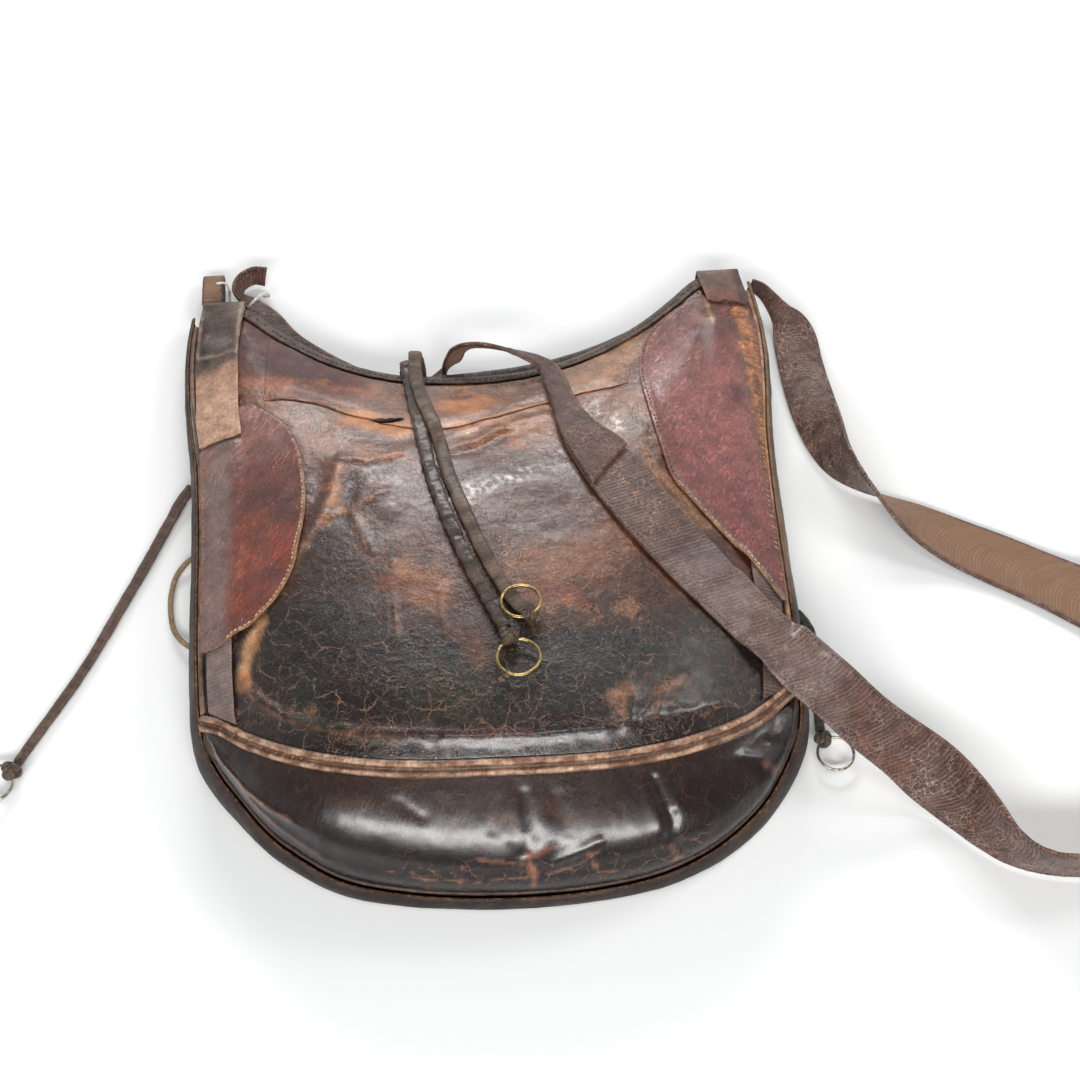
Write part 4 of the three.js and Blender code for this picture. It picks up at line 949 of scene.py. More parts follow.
frontLook = {
    "step": 1.45, "down": 258, "across": 318,
    "stops": ((-150, "1f1714"), (-134, "261a17"), (-112, "221e1a"), (-92, "25221e"), (-78, "2f2521"),
              (-66, "3e241a"), (-50, "543121"), (-22, "522e22"), (5, "553024"), (32, "542e23"), (48, "77482f"),
              (66, "875638"), (92, "825640"), (125, "643d2b"), (170, "5a3626")),
    "strokes": (
        (((-75, -40), (-90, -25), (-72, -12)), "3a2b29", 0.8, 17, 10, 2),
        (((-74, 26), (-75, 12)), "33231f", 0.8, 5, 5, 3),
        (((-78.5, 38), (-80, 26), (-82.5, 12)), "b87a52", 0.85, 2.4, 2.6, 4),
        (((-82.5, 14), (-86.4, 4), (-90, -5), (-95, -14)), "a0745a", 0.8, 1.5, 2.2, 2.4),
        (((-95, -12), (-101, -26), (-110, -43), (-122, -55)), "8b6850", 0.6, 1.2, 1.8, 2.2),
        (((-85, 3), (-75.4, 3.2), (-70.8, 4.5), (-66.3, 9.5)), "9c6f57", 0.8, 1.2, 1.8, 2.4),
        (((-70.8, 2), (-66.3, -9.5), (-64.5, -19), (-59, -27)), "8d6753", 0.7, 0.8, 1.8, 2.4),
        (((-117, -57), (-124, -68), (-125.6, -90)), "a5764f", 0.9, 3.4, 1.6, 3.6),
        (((-118, -58), (-124.6, -68), (-125.6, -84)), "c99a70", 0.9, 2.2, 1.4, 2.6, 4),
        (((-125.4, -86), (-125, -92)), "b8703c", 0.85, 2.2, 1.4, 2, 5),
        (((-127, -90), (-119, -103), (-105, -116), (-88, -124.5), (-72, -130.5), (-50, -136)),
         "86604a", 0.7, 0.7, 1.3, 1.6),
        (((-118, -98), (-104, -111), (-90, -119)), "4a2a22", 0.8, 1.6, 2, 2),
        (((-66, -131), (-35, -135), (10, -138)), "4a251c", 0.6, 3, 4, 4),
        (((-50.5, -40), (-50, -55), (-47.8, -78)), "a37a58", 0.7, 0.4, 0.9, 0.8),
        (((-25.2, -55), (-25, -77)), "8a5638", 0.6, 0.6, 1.4, 1.4),
        (((-42, -50), (-30, -54)), "83472a", 0.8, 8, 9, 8),
        (((-46, -42), (-30, -46)), "97603f", 0.7, 4, 7, 7),
        (((-14, -80), (-9, -98)), "5a3226", 0.8, 7, 6, 5),
        (((20, -44), (52, -36), (64, -28)), "875338", 0.75, 13, 9, 5),
        (((18, -58), (42, -66)), "7b3f28", 0.8, 5, 5, 4),
        (((62, -66), (80, -60)), "3f2418", 0.8, 4, 5, 4),
        (((30, -78), (60, -76)), "4c2c20", 0.6, 5, 6, 5),
        (((-34, -112), (-14, -116)), "2c2a1d", 0.7, 13, 8, 5),
        (((24, -112), (90, -96)), "272a27", 0.6, 16, 10, 5),
        (((-96, -100), (-92, -116)), "27302b", 0.6, 9, 7, 4),
        (((54, -122), (60, -116), (57, -130)), "8f6a52", 0.7, 2.2, 2.4, 3),
        (((72, -130), (76, -119), (90, -110)), "6f5342", 0.6, 2.4, 3, 3),
        (((-22, 100), (16, 100)), "94705e", 0.7, 7, 6, 5),
        (((-72, 77), (-62, 73)), "e39a4a", 0.8, 5, 2.5, 2),
        (((-66, 74), (-53, 66), (-42, 66)), "dc8a3e", 0.8, 7, 3, 3),
        # painted shade in and around the slit
        (((-61, 72), (-43, 72)), "4a2f1e", 0.8, 2.2, 1.2, 1),
        (((-21, 82), (-6, 78), (0, 84)), "d98b45", 0.9, 6, 3, 4),
        (((-20, 66), (-8, 60)), "bf8450", 0.8, 5, 3, 4),
        (((6, 66), (22, 60), (34, 62)), "a56f48", 0.7, 6, 5, 4),
        (((2, 69), (16, 74), (38, 80)), "c08d60", 0.9, 0.7, 1, 1),
        (((12, 54), (18, 46)), "a96537", 0.8, 4, 3, 3),
        (((-16, 42), (-6, 41), (4, 50), (14, 52)), "5a2f1d", 0.8, 1.8, 2.2, 3),
        (((-60, 42), (-44, 42), (-38, 36)), "96583a", 0.8, 3, 3, 3),
        (((-90, 46), (-78, 42), (-70, 40)), "4b2e20", 0.8, 1.1, 1.4, 1.5),
        (((-98, 86), (-82, 82), (-75, 78)), "4f3323", 0.8, 1.3, 1.4, 1.5),
        (((-74, 62), (-56, 58)), "57403a", 0.7, 4, 4, 3),
        (((-130, 150), (-116, 128), (-96, 112)), "4f271c", 0.9, 13, 8, 6),
        (((-128, 112), (-112, 104)), "a8683e", 0.7, 6, 6, 5),
        (((-70, 100), (-58, 96)), "a87048", 0.6, 5, 5, 4),
        (((62, 96), (78, 116), (92, 128)), "a3784f", 0.75, 13, 8, 5),
        (((80, 40), (92, 16), (112, -14)), "8a6243", 0.7, 4, 5, 4),
        (((82, 62), (86, 48)), "5c4639", 0.7, 5, 5, 4),
        (((-147, -100), (-132, -104)), "4a3428", 0.5, 3, 3, 2),
    ),
    # where the finish is rubbed through in flecks and scratches: a line, its half width, how much
    "worn": (
        (((-79, 38), (-82.5, 9), (-90, -5)), 4, 0.6),
        (((-85, 3), (-72, 3), (-62, 12), (-50, 22)), 4, 0.5),
        (((-70, 0), (-64, -20), (-54, -32)), 5, 0.45),
        (((-50, -38), (-36, -35), (-22, -34)), 6, 0.4),
        (((-40, -50), (-24, -58)), 8, 0.34),
        (((10, -40), (48, -34), (70, -28)), 13, 0.18),
        (((20, -70), (70, -74)), 10, 0.4),
        (((-76, 76), (-46, 67), (-36, 66)), 7, 0.75),
        (((-24, 82), (2, 80)), 10, 0.62),
        (((-16, 60), (6, 66), (20, 75), (38, 78)), 4, 0.7),
        (((-18, 46), (-4, 49), (6, 58), (18, 59), (28, 55)), 3.5, 0.6),
        (((-66, 44), (-40, 40)), 4, 0.6),
        (((-110, 108), (-60, 98), (0, 96), (50, 104)), 8, 0.45),
        (((60, 90), (92, 126)), 12, 0.6),
        (((84, 40), (96, 14), (112, -14)), 5, 0.5),
        (((-120, -56), (-126, -92)), 4, 0.5),
        (((-112, -104), (-60, -133)), 3, 0.4),
        (((52, -128), (60, -114), (82, -112)), 6, 0.42),
    ),
    "glints": (
        (((-14, 9), (16, 21), (46, 38)), 6, 1.0), (((56, 77), (66, 66), (74, 55)), 5, 1.0),
        (((-58, 9), (-36, -2)), 5, 0.7), (((-25, 62), (-7, 59)), 3, 0.8), (((-60, 30), (-46, 22)), 4, 0.6),
    ),
}


def frontPaint(x, y):
    lean = 30 * smooth((-x - 46) / 40)
    at = y - lean + 7 * noise(x, y, 26, 11, 3) + 2.5 * noise(x, y, 7, 12, 2)
    at = np.where(y > 30, y + 6 * noise(x, y, 22, 13, 3), at)
    colour = painted(x, y, banded(at, frontLook["stops"]), frontLook["strokes"])
    colour = varied(colour, 0.16 * noise(x, y, 5.5, 31, 3) + 0.1 * noise(x, y, 19, 32))
    upper = smooth((y - 46) / 30)[..., None]
    colour = colour * mix(np.ones(3), np.array([0.9, 0.77, 0.67]), upper)
    corner = stroke(x, y, ((-150, 168), (-118, 128), (-84, 110)), 20, 12, 4)[..., None]
    colour = colour * mix(np.ones(3), np.array([0.95, 0.5, 0.38]), corner)
    dark = smooth((-58 - at) / 22)
    crack = 0.35 * smooth((20 - y) / 70) + 0.55 * dark + 0.25 * stroke(x, y, ((20, 50), (-30, 60)), 22, 16)
    rough = 0.3 + 0.04 * dark + 0.05 * noise(x, y, 12, 41, 2)
    rough = rough + 0.14 * stroke(x, y, ((-125, -60), (-127, -90)), 4, 2) - 0.1 * smooth((-128 - y) / 8)
    rough = rough + 0.32 * corner[..., 0] + 0.16 * stroke(x, y, ((-76, 76), (-46, 67), (0, 82)), 8, 6, 3)
    worn = [part * stroke(x, y, line, wide, 8, 7, 7) for line, wide, part in frontLook["worn"]]
    shine = 0.6 * smooth((pipingY(x) + 24 - y) / 10) * (0.8 + 0.5 * noise(x, y * 2, 12, 42, 3))
    # broken glints where the hide is polished
    sparkle = smooth(0.3 + 1.3 * noise(x, y, 2.0, 43, 2))
    for line, wide, part in frontLook["glints"]:
        shine = np.maximum(shine, part * sparkle * stroke(x, y, line, wide, 6, 4, 8))
    return {"tint": colour, "crack": clamp01(crack), "rough": rough, "worn": np.maximum.reduce(worn),
            "shine": clamp01(shine)}


def crinkles(x, y):
    # small wrinkles of the old leather, deeper where it folds often
    often = 0.6 + 0.4 * smooth((y - 10) / 50) + 0.3 * smooth((-110 - y) / 12)
    ridge = 1 - np.abs(noise(x, y, 6.5, 201, 3)) * 2.2
    return often * (0.16 * noise(x, y, 4.6, 202, 2) + 0.14 * np.maximum(ridge, 0) ** 3)


def sheetOnFront(name, x, y, lift, thick, material, paint, rim=None):
    # leather laid on the front over a grid of places
    place, out = onFront(x, y, lift + thick / 2)
    return shell(name, place, out, thick, material, paint(x, y), rim)


def finished(obj, slotName, *nodes):
    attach(obj, "root")
    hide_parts(*nodes)
    return obj


def cutSlit(obj, look):
    # a lens-shaped cut right through, with torn ends
    angle = turns(28)
    x = np.cos(angle) * look["length"] / 2
    y = np.sin(angle) * look["width"] / 2 * (1 + 0.2 * np.sin(3 * angle)) + 0.5 * np.cos(angle * 2)
    z = float(height(look["x"], look["y"]))
    ring = np.stack([x + look["x"], y + look["y"] - 0.04 * x, np.full(28, z - 20)], -1)
    points = np.vstack([ring, ring + (0, 0, 40)])
    faces = [[i, (i + 1) % 28, 28 + (i + 1) % 28, 28 + i] for i in range(28)]
    faces += [list(range(28))[::-1], list(range(28, 56))]
    cutter = makeObject("slitCutter", points, faces, bodyLeather,
                        cordPaint(np.zeros((56, 3)) + shade("2a1a13"), 0, 0.6), np.zeros((56, 2)))
    change = obj.modifiers.new("slit", "BOOLEAN")
    change.operation, change.object, change.solver = "DIFFERENCE", cutter, "EXACT"
    mesh = bpy.data.meshes.new_from_object(obj.evaluated_get(bpy.context.evaluated_depsgraph_get()))
    obj.modifiers.remove(change)
    obj.data = mesh
    bpy.data.objects.remove(cutter)
    # the corners made by the cut come back blank, so they get the colour of raw leather
    rough = np.empty(len(mesh.vertices), np.float32)
    mesh.attributes["rough"].data.foreach_get("value", rough)
    for i in np.flatnonzero(rough < 0.05):
        mesh.attributes["rough"].data[i].value = 0.8
        mesh.attributes["tint"].data[i].color = (*shade("3a2418"), 1)


# front panel: from the mouth down to the piping

t = stations(frontLook["down"], frontLook["step"], 1.0)[:, None]
a = mix(-1, 1, stations(frontLook["across"], frontLook["step"], 1.0))[None, :]
top = mouthY(a * mouthReach) - 1.4
lowX = a * half(sideEnd)
for _ in range(4):
    lowX = a * (half(pipingY(lowX) + piping["seat"]) - edgeGap)
panelY = mix(top, pipingY(lowX) + piping["seat"], t)
panelX = a * (half(panelY) - edgeGap)
frontPanel = sheetOnFront("front_leather", panelX, panelY, crinkles(panelX, panelY) - hide, hide, bodyLeather,
                          frontPaint)
cutSlit(frontPanel, slit)
finished(frontPanel, "front_leather", "front_panel")

# facing along the mouth, between the wings
facingLook = {"down": 45, "across": 206, "step": 1.7, "rim": 0.65}
t = stations(facingLook["down"], facingLook["step"], facingLook["rim"])[:, None]
x = mix(*facingEnds, stations(facingLook["across"], facingLook["step"], facingLook["rim"]))[None, :]
y = mix(facingLow(x) + 0.7 * noise(x, 0, 9, 51, 2), mouthY(x) - 9.4, t)
x = np.broadcast_to(x, y.shape)
# pared thin towards its ends and along its lower edge
fromEnds = smooth(np.minimum(x - facingEnds[0], facingEnds[1] - x) / 16)
pared = np.minimum(fromEnds, 0.3 + 0.7 * smooth((y - facingLow(x)) / 9))
facing = sheetOnFront("facing_leather", x, y, crinkles(x, y) + mix(0.15, seat, pared), mix(0.3, thin, pared),
                      bodyLeather, frontPaint, facingLook["rim"])
cutSlit(facing, slit)
finished(facing, "front_leather", "mouth_facing")
print("front made")


# straps sewn down both sides of the front

sideStrapLook = {
    "across": 13, "foot": 95, "steps": (1.3, 1.8), "rim": 0.8, "gap": 5.1,
    "stops": ((-110, "7c6c66"), (-70, "8a7974"), (-20, "7b655e"), (140, "7a5748")),
}


def sideStrapPaint(x, y):
    colour = banded(y + 5 * noise(x, y, 11, 61, 2), sideStrapLook["stops"])
    # painted shade on the right strap low down, where the shoulder strap crosses over it
    colour = tinted(colour, "3a2c28", 0.8 * (x > 0) * smooth((-44 - y) / 10))
    colour = varied(colour, 0.12 * noise(x * 3, y, 7, 62, 3))
    return {"tint": colour, "crack": np.full(x.shape, 0.15), "rough": np.full(x.shape, 0.42)}


look, (fine, coarse) = sideStrapLook, sideStrapLook["steps"]
part = mix(sideStrap["outer"], sideStrap["inner"], stations(look["across"], fine, look["rim"]))[None, :]
for sign, side in ((-1, "left"), (1, "right")):
    low = pipingY(sign * part * half(sideEnd)) + look["gap"]
    y = mix(sideStrap[sign], low, stations(sideStrap[sign] + look["foot"], coarse, look["rim"])[:, None])
    x = sign * part * half(y) + 0.25 * noise(y, part * 9, 8, 63)
    strap = sheetOnFront("side_strap_leather_" + side, x, np.broadcast_to(y, x.shape), seat, sideStrap["thick"],
                         strapLeatherLook, sideStrapPaint)
    finished(strap, "strap_leather", "side_strap_" + side)


# wings

wingShape = {"across": 45, "step": 1.25, "rim": 0.6}
wingLook = {
    -1: {"stops": ((-70, "7c3526"), (-40, "90402c"), (-10, "964632"), (15, "733a2e"), (40, "824438"),
                   # lighter and pinker towards the top: partly its own tone, partly a painted highlight
                   (70, "ab746a"), (92, "bd8f85")),
         "strokes": (
             (((-126, 8), (-124, -4), (-125, -24)), "a4512a", 0.8, 3.5, 4, 4),
             (((-109, -10), (-106, -24)), "a33d1c", 0.8, 4.5, 4, 4),
             (((-118, 12), (-114, 2)), "8d4a2a", 0.8, 3, 4, 4),
             (((-128, -40), (-130, -52)), "913f24", 0.8, 4, 4, 4),
             (((-112, 24), (-104, 6)), "3c1f1c", 0.5, 6, 5, 4),
             (((-118, -30), (-106, -34)), "4e1c16", 0.5, 4, 4, 4),
             (((-142, 80), (-143, 20), (-142, -62)), "947870", 0.85, 7, 4, 2),
             (((-104, 56), (-102, 42)), "8f4c30", 0.8, 2.5, 3, 2),
             (((-153, 60), (-152.5, 0), (-151, -58)), "a57a5c", 0.7, 1.6, 1.6, 2),
         )},
    1: {"stops": ((-60, "85443d"), (-10, "9a544f"), (40, "a8625c"), (90, "ad6963"), (130, "9b584f"),
                  (165, "7a4739")),
        "strokes": (
            (((98, 92), (96, 60), (104, 28)), "84382e", 0.7, 3, 4, 3),
            (((146, 84), (143, 76)), "5a221f", 0.7, 4, 4, 4),
            (((138, 160), (138.5, 137)), "d6b48a", 0.9, 1.1, 0.8, 0.8),
            (((137, 159), (151, 159.5)), "c9a57c", 0.8, 0.9, 0.8, 0.8),
            (((130, 128), (150, 134)), "55261f", 0.6, 6, 6, 5),
            (((156.5, 152), (156, 112), (155, 60), (154.5, 26)), "dd9058", 1, 4.6, 1.6, 2.4),
            (((157, 98), (157.5, 72)), "42241a", 0.7, 2, 1.5, 2),
            (((156, 26), (156, -10), (155, -44)), "a8765a", 0.85, 3, 1.6, 2),
            (((150, 110), (150.5, 30), (150, -30)), "7a5a50", 0.5, 2.2, 2.2, 2),
        )},
}


def wingPaint(sign, x, y):
    look = wingLook[sign]
    at = y + 6 * noise(x, y, 18, 71, 3) + 0.25 * sign * (x - sign * 125)
    colour = painted(x, y, banded(at, look["stops"]), look["strokes"])
    bent = 0.8 * x + 0.6 * y if sign < 0 else x
    streak = noise(bent * 0.5 + 3 * noise(x, y, 12, 72), (0.6 * x - 0.8 * y) * 2.2, 4.2, 73, 3)
    colour = varied(colour, (0.28 if sign < 0 else 0.12) * streak + 0.12 * noise(x, y, 3, 74, 2))
    inner = np.abs(x - wingInner[sign](y))
    border = smooth((1.9 - inner) / 1.0) * (0.75 + 0.35 * noise(x, y, 5, 75, 2))
    low = smooth((46 - y) / 12) if sign < 0 else 0.25 + 0.75 * smooth((8 - y) / 12)
    colour = tinted(colour, "cda477", clamp01(border * low) * 0.85)
    if sign > 0:  # a grey rim low down
        rim = smooth((4.6 - inner) / 1.6) * smooth((34 - y) / 20) * smooth((inner - 0.9) / 0.6)
        colour = tinted(colour, "9c8a7e", 0.8 * rim)
        # the gathered seam and the stitches of the upper edge
        seam = stroke(x, y, ((156.5, 152), (156, 112), (155, 60), (154.5, 26)), 5, 1.2, 2)
        gather = smooth(0.2 + 1.6 * noise(x * 0.5 + 0.4 * y, y, 1.7, 79, 2))
        gather = gather * smooth(0.8 + noise(x, y, 9, 80, 2))
        colour = varied(colour, -0.62 * seam * gather)
        dash = smooth((np.sin(y * 0.9 + x * 0.5) - 0.1) / 0.3) * smooth((1.0 - np.abs(inner - 4.5)) / 0.6)
        colour = tinted(colour, "d9a06a", 0.8 * dash * smooth((y - 112) / 8) * smooth((150 - y) / 6))
        # fine pale grain where the red is rubbed
        glint = 0.5 * smooth((noise(x, y, 1.7, 81, 2) - 0.22) / 0.16) * smooth((120 - y) / 40)
    else:
        glint = smooth(0.35 + 1.2 * noise(x, y, 2.6, 78, 2))
        glint = glint * stroke(x, y, ((-143, 34), (-128, 54), (-116, 66)), 9, 8)
    return {"tint": colour, "crack": np.full(x.shape, 0.2 if sign < 0 else 0.1),
            "rough": 0.34 + 0.05 * noise(x, y, 9, 76, 2) + 0.22 * stroke(x, y, ((138, 165), (140, 40)), 8, 6),
            "shine": 0.9 * glint}


for sign, side in ((-1, "left"), (1, "right")):
    start, stop = wingSpans[sign]
    y = mix(start, stop, stations(start - stop, wingShape["step"], wingShape["rim"]))[:, None]
    part = stations(wingShape["across"], wingShape["step"], wingShape["rim"])[None, :]
    x = mix(sign * (half(y) - edgeGap), wingInner[sign](y), part)
    y = np.broadcast_to(y, x.shape)
    rise = seat + strapRise(x, y)
    creases = 0.36 * noise((0.8 * x + 0.6 * y) * 0.4, (0.6 * x - 0.8 * y) * 1.6, 4.5, 77, 2) if sign < 0 else 0
    # a low ridge just inside its edge
    rise = rise + 0.25 * np.exp(-((part * wingShape["across"] - 43.2) / 1.1) ** 2) + creases
    wing = sheetOnFront("wing_leather_" + side, x, y, rise, thin, redLeather,
                        lambda x, y: wingPaint(sign, x, y))
    finished(wing, "red_leather", "wing_" + side)
print("wings made")


# corner tabs, over the shoulders and down the front

tabs = {
    -1: {"shoulder": 178.5, "tear": 1.6,
         "lift": ((70, 2.9), (92, 2.9), (106, 1), (154, 1), (168, 2.6), (180, 2.6)),
         "stops": ((70, "cba286"), (92, "d3aa8e"), (124, "bb9076"), (133, "5c4940"), (150, "40332e"),
                   (175, "66534a"), (190, "2c2422")),
         "strokes": (
             (((-160, 168), (-161, 150), (-157, 134)), "1d1817", 0.8, 2.2, 2, 2),
             (((-138.5, 180), (-139.6, 160), (-139.6, 138)), "b39a84", 0.8, 0.7, 1, 1),
             (((-161, 178), (-163, 160), (-163, 140)), "a58c76", 0.8, 0.9, 1, 1),
             (((-162, 140), (-150, 138.5), (-140, 141)), "a58c78", 0.8, 0.9, 1.2, 1.5),
             (((-156, 152), (-147, 149)), "776a62", 0.8, 4, 4, 3),
             (((-156, 178), (-148, 168)), "3d2a24", 0.8, 5, 4, 3),
         )},
    1: {"shoulder": 183, "tear": 2.4, "lift": ((158, 2.8), (184, 2.6)),
        "stops": ((150, "7c4a3d"), (164, "744d40"), (178, "6c5347"), (184, "8d7462"), (188, "6a5347"),
                  (195, "2c2422")),
        "strokes": (
            (((161, 186), (159.5, 172), (160, 158)), "2e2421", 0.8, 2.6, 3, 3),
            (((138, 182), (146, 176)), "4b352d", 0.7, 4, 4, 4),
            (((140, 166), (150, 162)), "8c5243", 0.7, 3, 3, 3),
        )},
}
tabShape = {"inner": 0.83, "outer": 0.984, "under": 18, "across": 24, "step": 1.1, "rim": 0.6}


def tabPiece(sign, look):
    side = "left" if sign < 0 else "right"
    lift = column(*zip(*look["lift"]))
    first, shoulder = look["lift"][0][0], look["shoulder"]
    over, under = shoulder + 4.4, backRise["height"] - 2.4
    high = float(height(0.9 * half(shoulder), shoulder))
    part = stations(tabShape["across"], tabShape["step"], tabShape["rim"])
    part = mix(tabShape["inner"], tabShape["outer"], part)
    rows = []
    for y in np.linspace(first, shoulder - 1, max(int((shoulder - first) / 5), 3)):
        x = sign * part * half(y)
        rows.append(onFront(x, np.full(x.shape, y), float(lift(y)))[0])
    x = sign * part * half(shoulder)
    for y, z in ((over - 1.2, high + 1.8), (over, high - 2), (over + 0.2, under + 3), (over - 0.8, under + 0.4),
                 (over - 4, under), (shoulder - tabShape["under"], under)):
        rows.append(np.stack(np.broadcast_arrays(x, y, z), -1))
    rows = np.array(rows)
    lines = np.stack([smoothLine(rows[:, j], 12) for j in range(rows.shape[1])], 1)
    span = lengths(lines[:, len(part) // 2])[-1]
    grid = np.stack([along(lines[:, j], stations(span, 1.2, 0.6)) for j in range(len(part))], 1)
    # its end is torn
    grid[..., 1] += look["tear"] * noise(part * 160, 0, 4, 81, 2) * np.exp(-np.arange(len(grid)) / 5)[:, None]
    out = normalsOf(grid)
    out = out * np.sign(out[:len(out) // 4, :, 2].sum())
    out[-1], out[0] = out[-2], out[1]
    x, y = grid[..., 0], grid[..., 1]
    front = smooth((grid[..., 2] - high + 6) / 4)
    colour = painted(x, y, banded(y + 4 * noise(x, y, 9, 82, 3), look["stops"]), look["strokes"])
    colour = mix(shade("2a2120"), colour, front[..., None]) * (1 + 0.16 * noise(x, y, 3.4, 83, 3))[..., None]
    paint = {"tint": colour, "crack": 0.3 + 0 * x, "rough": 0.55 + 0.1 * noise(x, y, 8, 84)}
    tab = shell("corner_tab_leather_" + side, grid + out * thin / 2, out, thin, tabLeather, paint)
    return finished(tab, "tan_leather" if sign < 0 else "strap_leather", "corner_tab_" + side)


for sign in (-1, 1):
    tabPiece(sign, tabs[sign])
print("tabs made")


# back, gusset and bottom band

def backEdge(u):
    point = along(seam, u)
    place = point + outward(u) * (0.16 * point[..., 2:] - 2.6)
    return place * (1, 1, 0)


def backPlace(t, s):
    # places between four edges: the mouth, the bottom and both sides
    leftX, rightX = backEdge(np.array(backEnds))[:, 0]

    def topAt(s):
        x = mix(leftX, rightX, s)
        return np.stack([x, backMouthY(x), np.zeros_like(x)], -1)
    s3, t3 = s[None, :, None], t[:, None, None]
    leftAt, rightAt = (backEdge(mix(end, corner, t))[:, None] for end, corner in zip(backEnds, backCorners))
    between = mix(topAt(s)[None], backEdge(mix(*backCorners, s))[None], t3) + mix(leftAt, rightAt, s3)
    ends, feet = topAt(np.array([0.0, 1.0])), backEdge(np.array(backCorners))
    return between - mix(mix(ends[0], ends[1], s3), mix(feet[0], feet[1], s3), t3)


backLook = {
    "down": 380, "across": 330, "step": 2.4,
    "stops": ((-190, "241c1a"), (-60, "33241f"), (60, "3a2720"), (190, "4a3128")),
    "strokes": (
        (((-90, -60), (40, -80), (110, -20)), "4d3327", 0.7, 30, 26, 16),
        (((-120, 60), (-60, 110)), "59392a", 0.6, 16, 14, 9),
        (((60, 120), (100, 40)), "53362a", 0.6, 14, 12, 9),
    ),
}


def backPaint(x, y):
    colour = painted(x, y, banded(y + 12 * noise(x, y, 40, 91, 3), backLook["stops"]), backLook["strokes"])
    colour = varied(colour, 0.2 * noise(x, y, 8, 92, 4))
    return {"tint": colour, "crack": 0.35 + 0.3 * noise(x, y, 50, 93),
            "rough": 0.48 + 0.06 * noise(x, y, 15, 94)}


grid = backPlace(*(stations(backLook[key], backLook["step"], 1.0) for key in ("down", "across")))
x, y = grid[..., 0], grid[..., 1]
grid[..., 2] = backHeight(y) + hide / 2
out = facingUp(normalsOf(grid), up)
back = shell("back_leather", grid, out, hide, bodyLeather, backPaint(x, y))
finished(back, "front_leather", "back_panel")

bandLook = {
    "swell": 0.88, "sag": (0.35, 1.15), "start": 0.014, "gap": 1.7, "step": 1.3, "long": 260, "deep": 60,
    "stops": ((0.0, "3a2a24"), (0.2, "2c1f1c"), (0.45, "241918"), (0.6, "170f0f"), (1.0, "0c0909")),
    # along the band from left to right, and from the piping down to the seam
    "folds": (
        (((136, 8), (136.5, 24), (133, 33)), 2, -0.55),
        (((141, 10), (142, 26), (137, 35)), 2.6, 0.45),
        (((131, 10), (130, 26)), 2.6, 0.35),
        (((127, 10), (124, 22)), 2.6, -0.3),
        (((148, 10), (149, 25)), 2.8, -0.3),
        (((182, 8), (183, 26), (181, 36), (185, 52)), 2, -1),
        (((186, 22), (194, 12)), 3.2, 0.6),
        (((178, 12), (179, 30)), 3.2, 0.45),
        (((12, 22), (20, 29), (34, 31), (58, 30)), 2.6, 0.9),
        (((36, 36), (50, 40), (68, 45)), 3, 0.7),
        (((216, 14), (222, 26), (221, 44)), 3, 0.8),
        (((228, 16), (234, 36)), 3, -0.8),
        (((134, 33), (134.5, 54)), 1.4, -0.4),
        (((158, 30), (142, 38)), 2, 0.6),
        (((20, 22), (14, 40)), 4, 0.6),
        (((100, 16), (92, 10)), 2.5, -0.4),
    ),
    "strokes": (
        (((136, 33), (142, 30), (146, 30)), "7a4433", 0.8, 1.4, 1.6, 3),
        (((134.5, 34), (135.5, 43), (134.8, 53)), "9a6248", 0.9, 0.9, 0.9, 1.2),
        (((118, 34), (126, 36), (134, 37)), "8a5f48", 0.8, 0.4, 0.8, 1.4),
        (((90, 44), (100, 47), (112, 46), (133, 45)), "8a6046", 0.8, 0.35, 0.7, 1.6),
        (((108, 38), (110, 44), (117, 48)), "7c553e", 0.8, 0.3, 0.6, 1.4),
        (((140, 44), (150, 40), (158, 34)), "8a5f48", 0.8, 0.4, 0.8, 1.4),
        (((154, 34), (156, 46), (162, 48)), "94694e", 0.8, 0.4, 0.7, 1.4),
        (((12, 22), (20, 29), (34, 31), (56, 30)), "b08467", 0.75, 0.7, 1.4, 1.6),
        (((36, 36), (50, 40), (66, 44)), "7d5a48", 0.6, 0.8, 1.6, 1.6),
        (((222, 28), (225, 44), (228, 54)), "7e5844", 0.6, 1.2, 2, 3),
        (((124, 12), (124, 22), (130, 14), (131, 24)), "6b4e3e", 0.6, 1, 1.6, 2),
        (((144, 12), (150, 22), (164, 20)), "6b4a3a", 0.45, 2.4, 3, 4),
        (((70, 12), (110, 13), (160, 12)), "4d372d", 0.4, 3, 4, 5),
        (((180, 40), (182, 52)), "8a5f4a", 0.7, 0.8, 1, 1.4),
    ),
}


def bandPlace(k, t):
    high = along(pipingLine, k)
    low = along(seam, mix(bottomStart, bottomEnd, k))
    drop = low - high
    size = np.linalg.norm(drop, axis=-1, keepdims=True)
    run = along(pipingLine, np.clip(k + 0.001, 0, 1)) - along(pipingLine, np.clip(k - 0.001, 0, 1))
    out = -unit(np.cross(run, drop))
    part = mix(piping["seat"] / size, 1 - bandLook["gap"] / size, t[..., None])
    # it hangs lower towards the middle and the right
    sag = mix(*bandLook["sag"], smooth((k - 0.2) / 0.32))[..., None]
    bulge = part * (1 - part) * (1 + sag * (part - 0.5))
    return high + drop * part + out * bandLook["swell"] * size * bulge


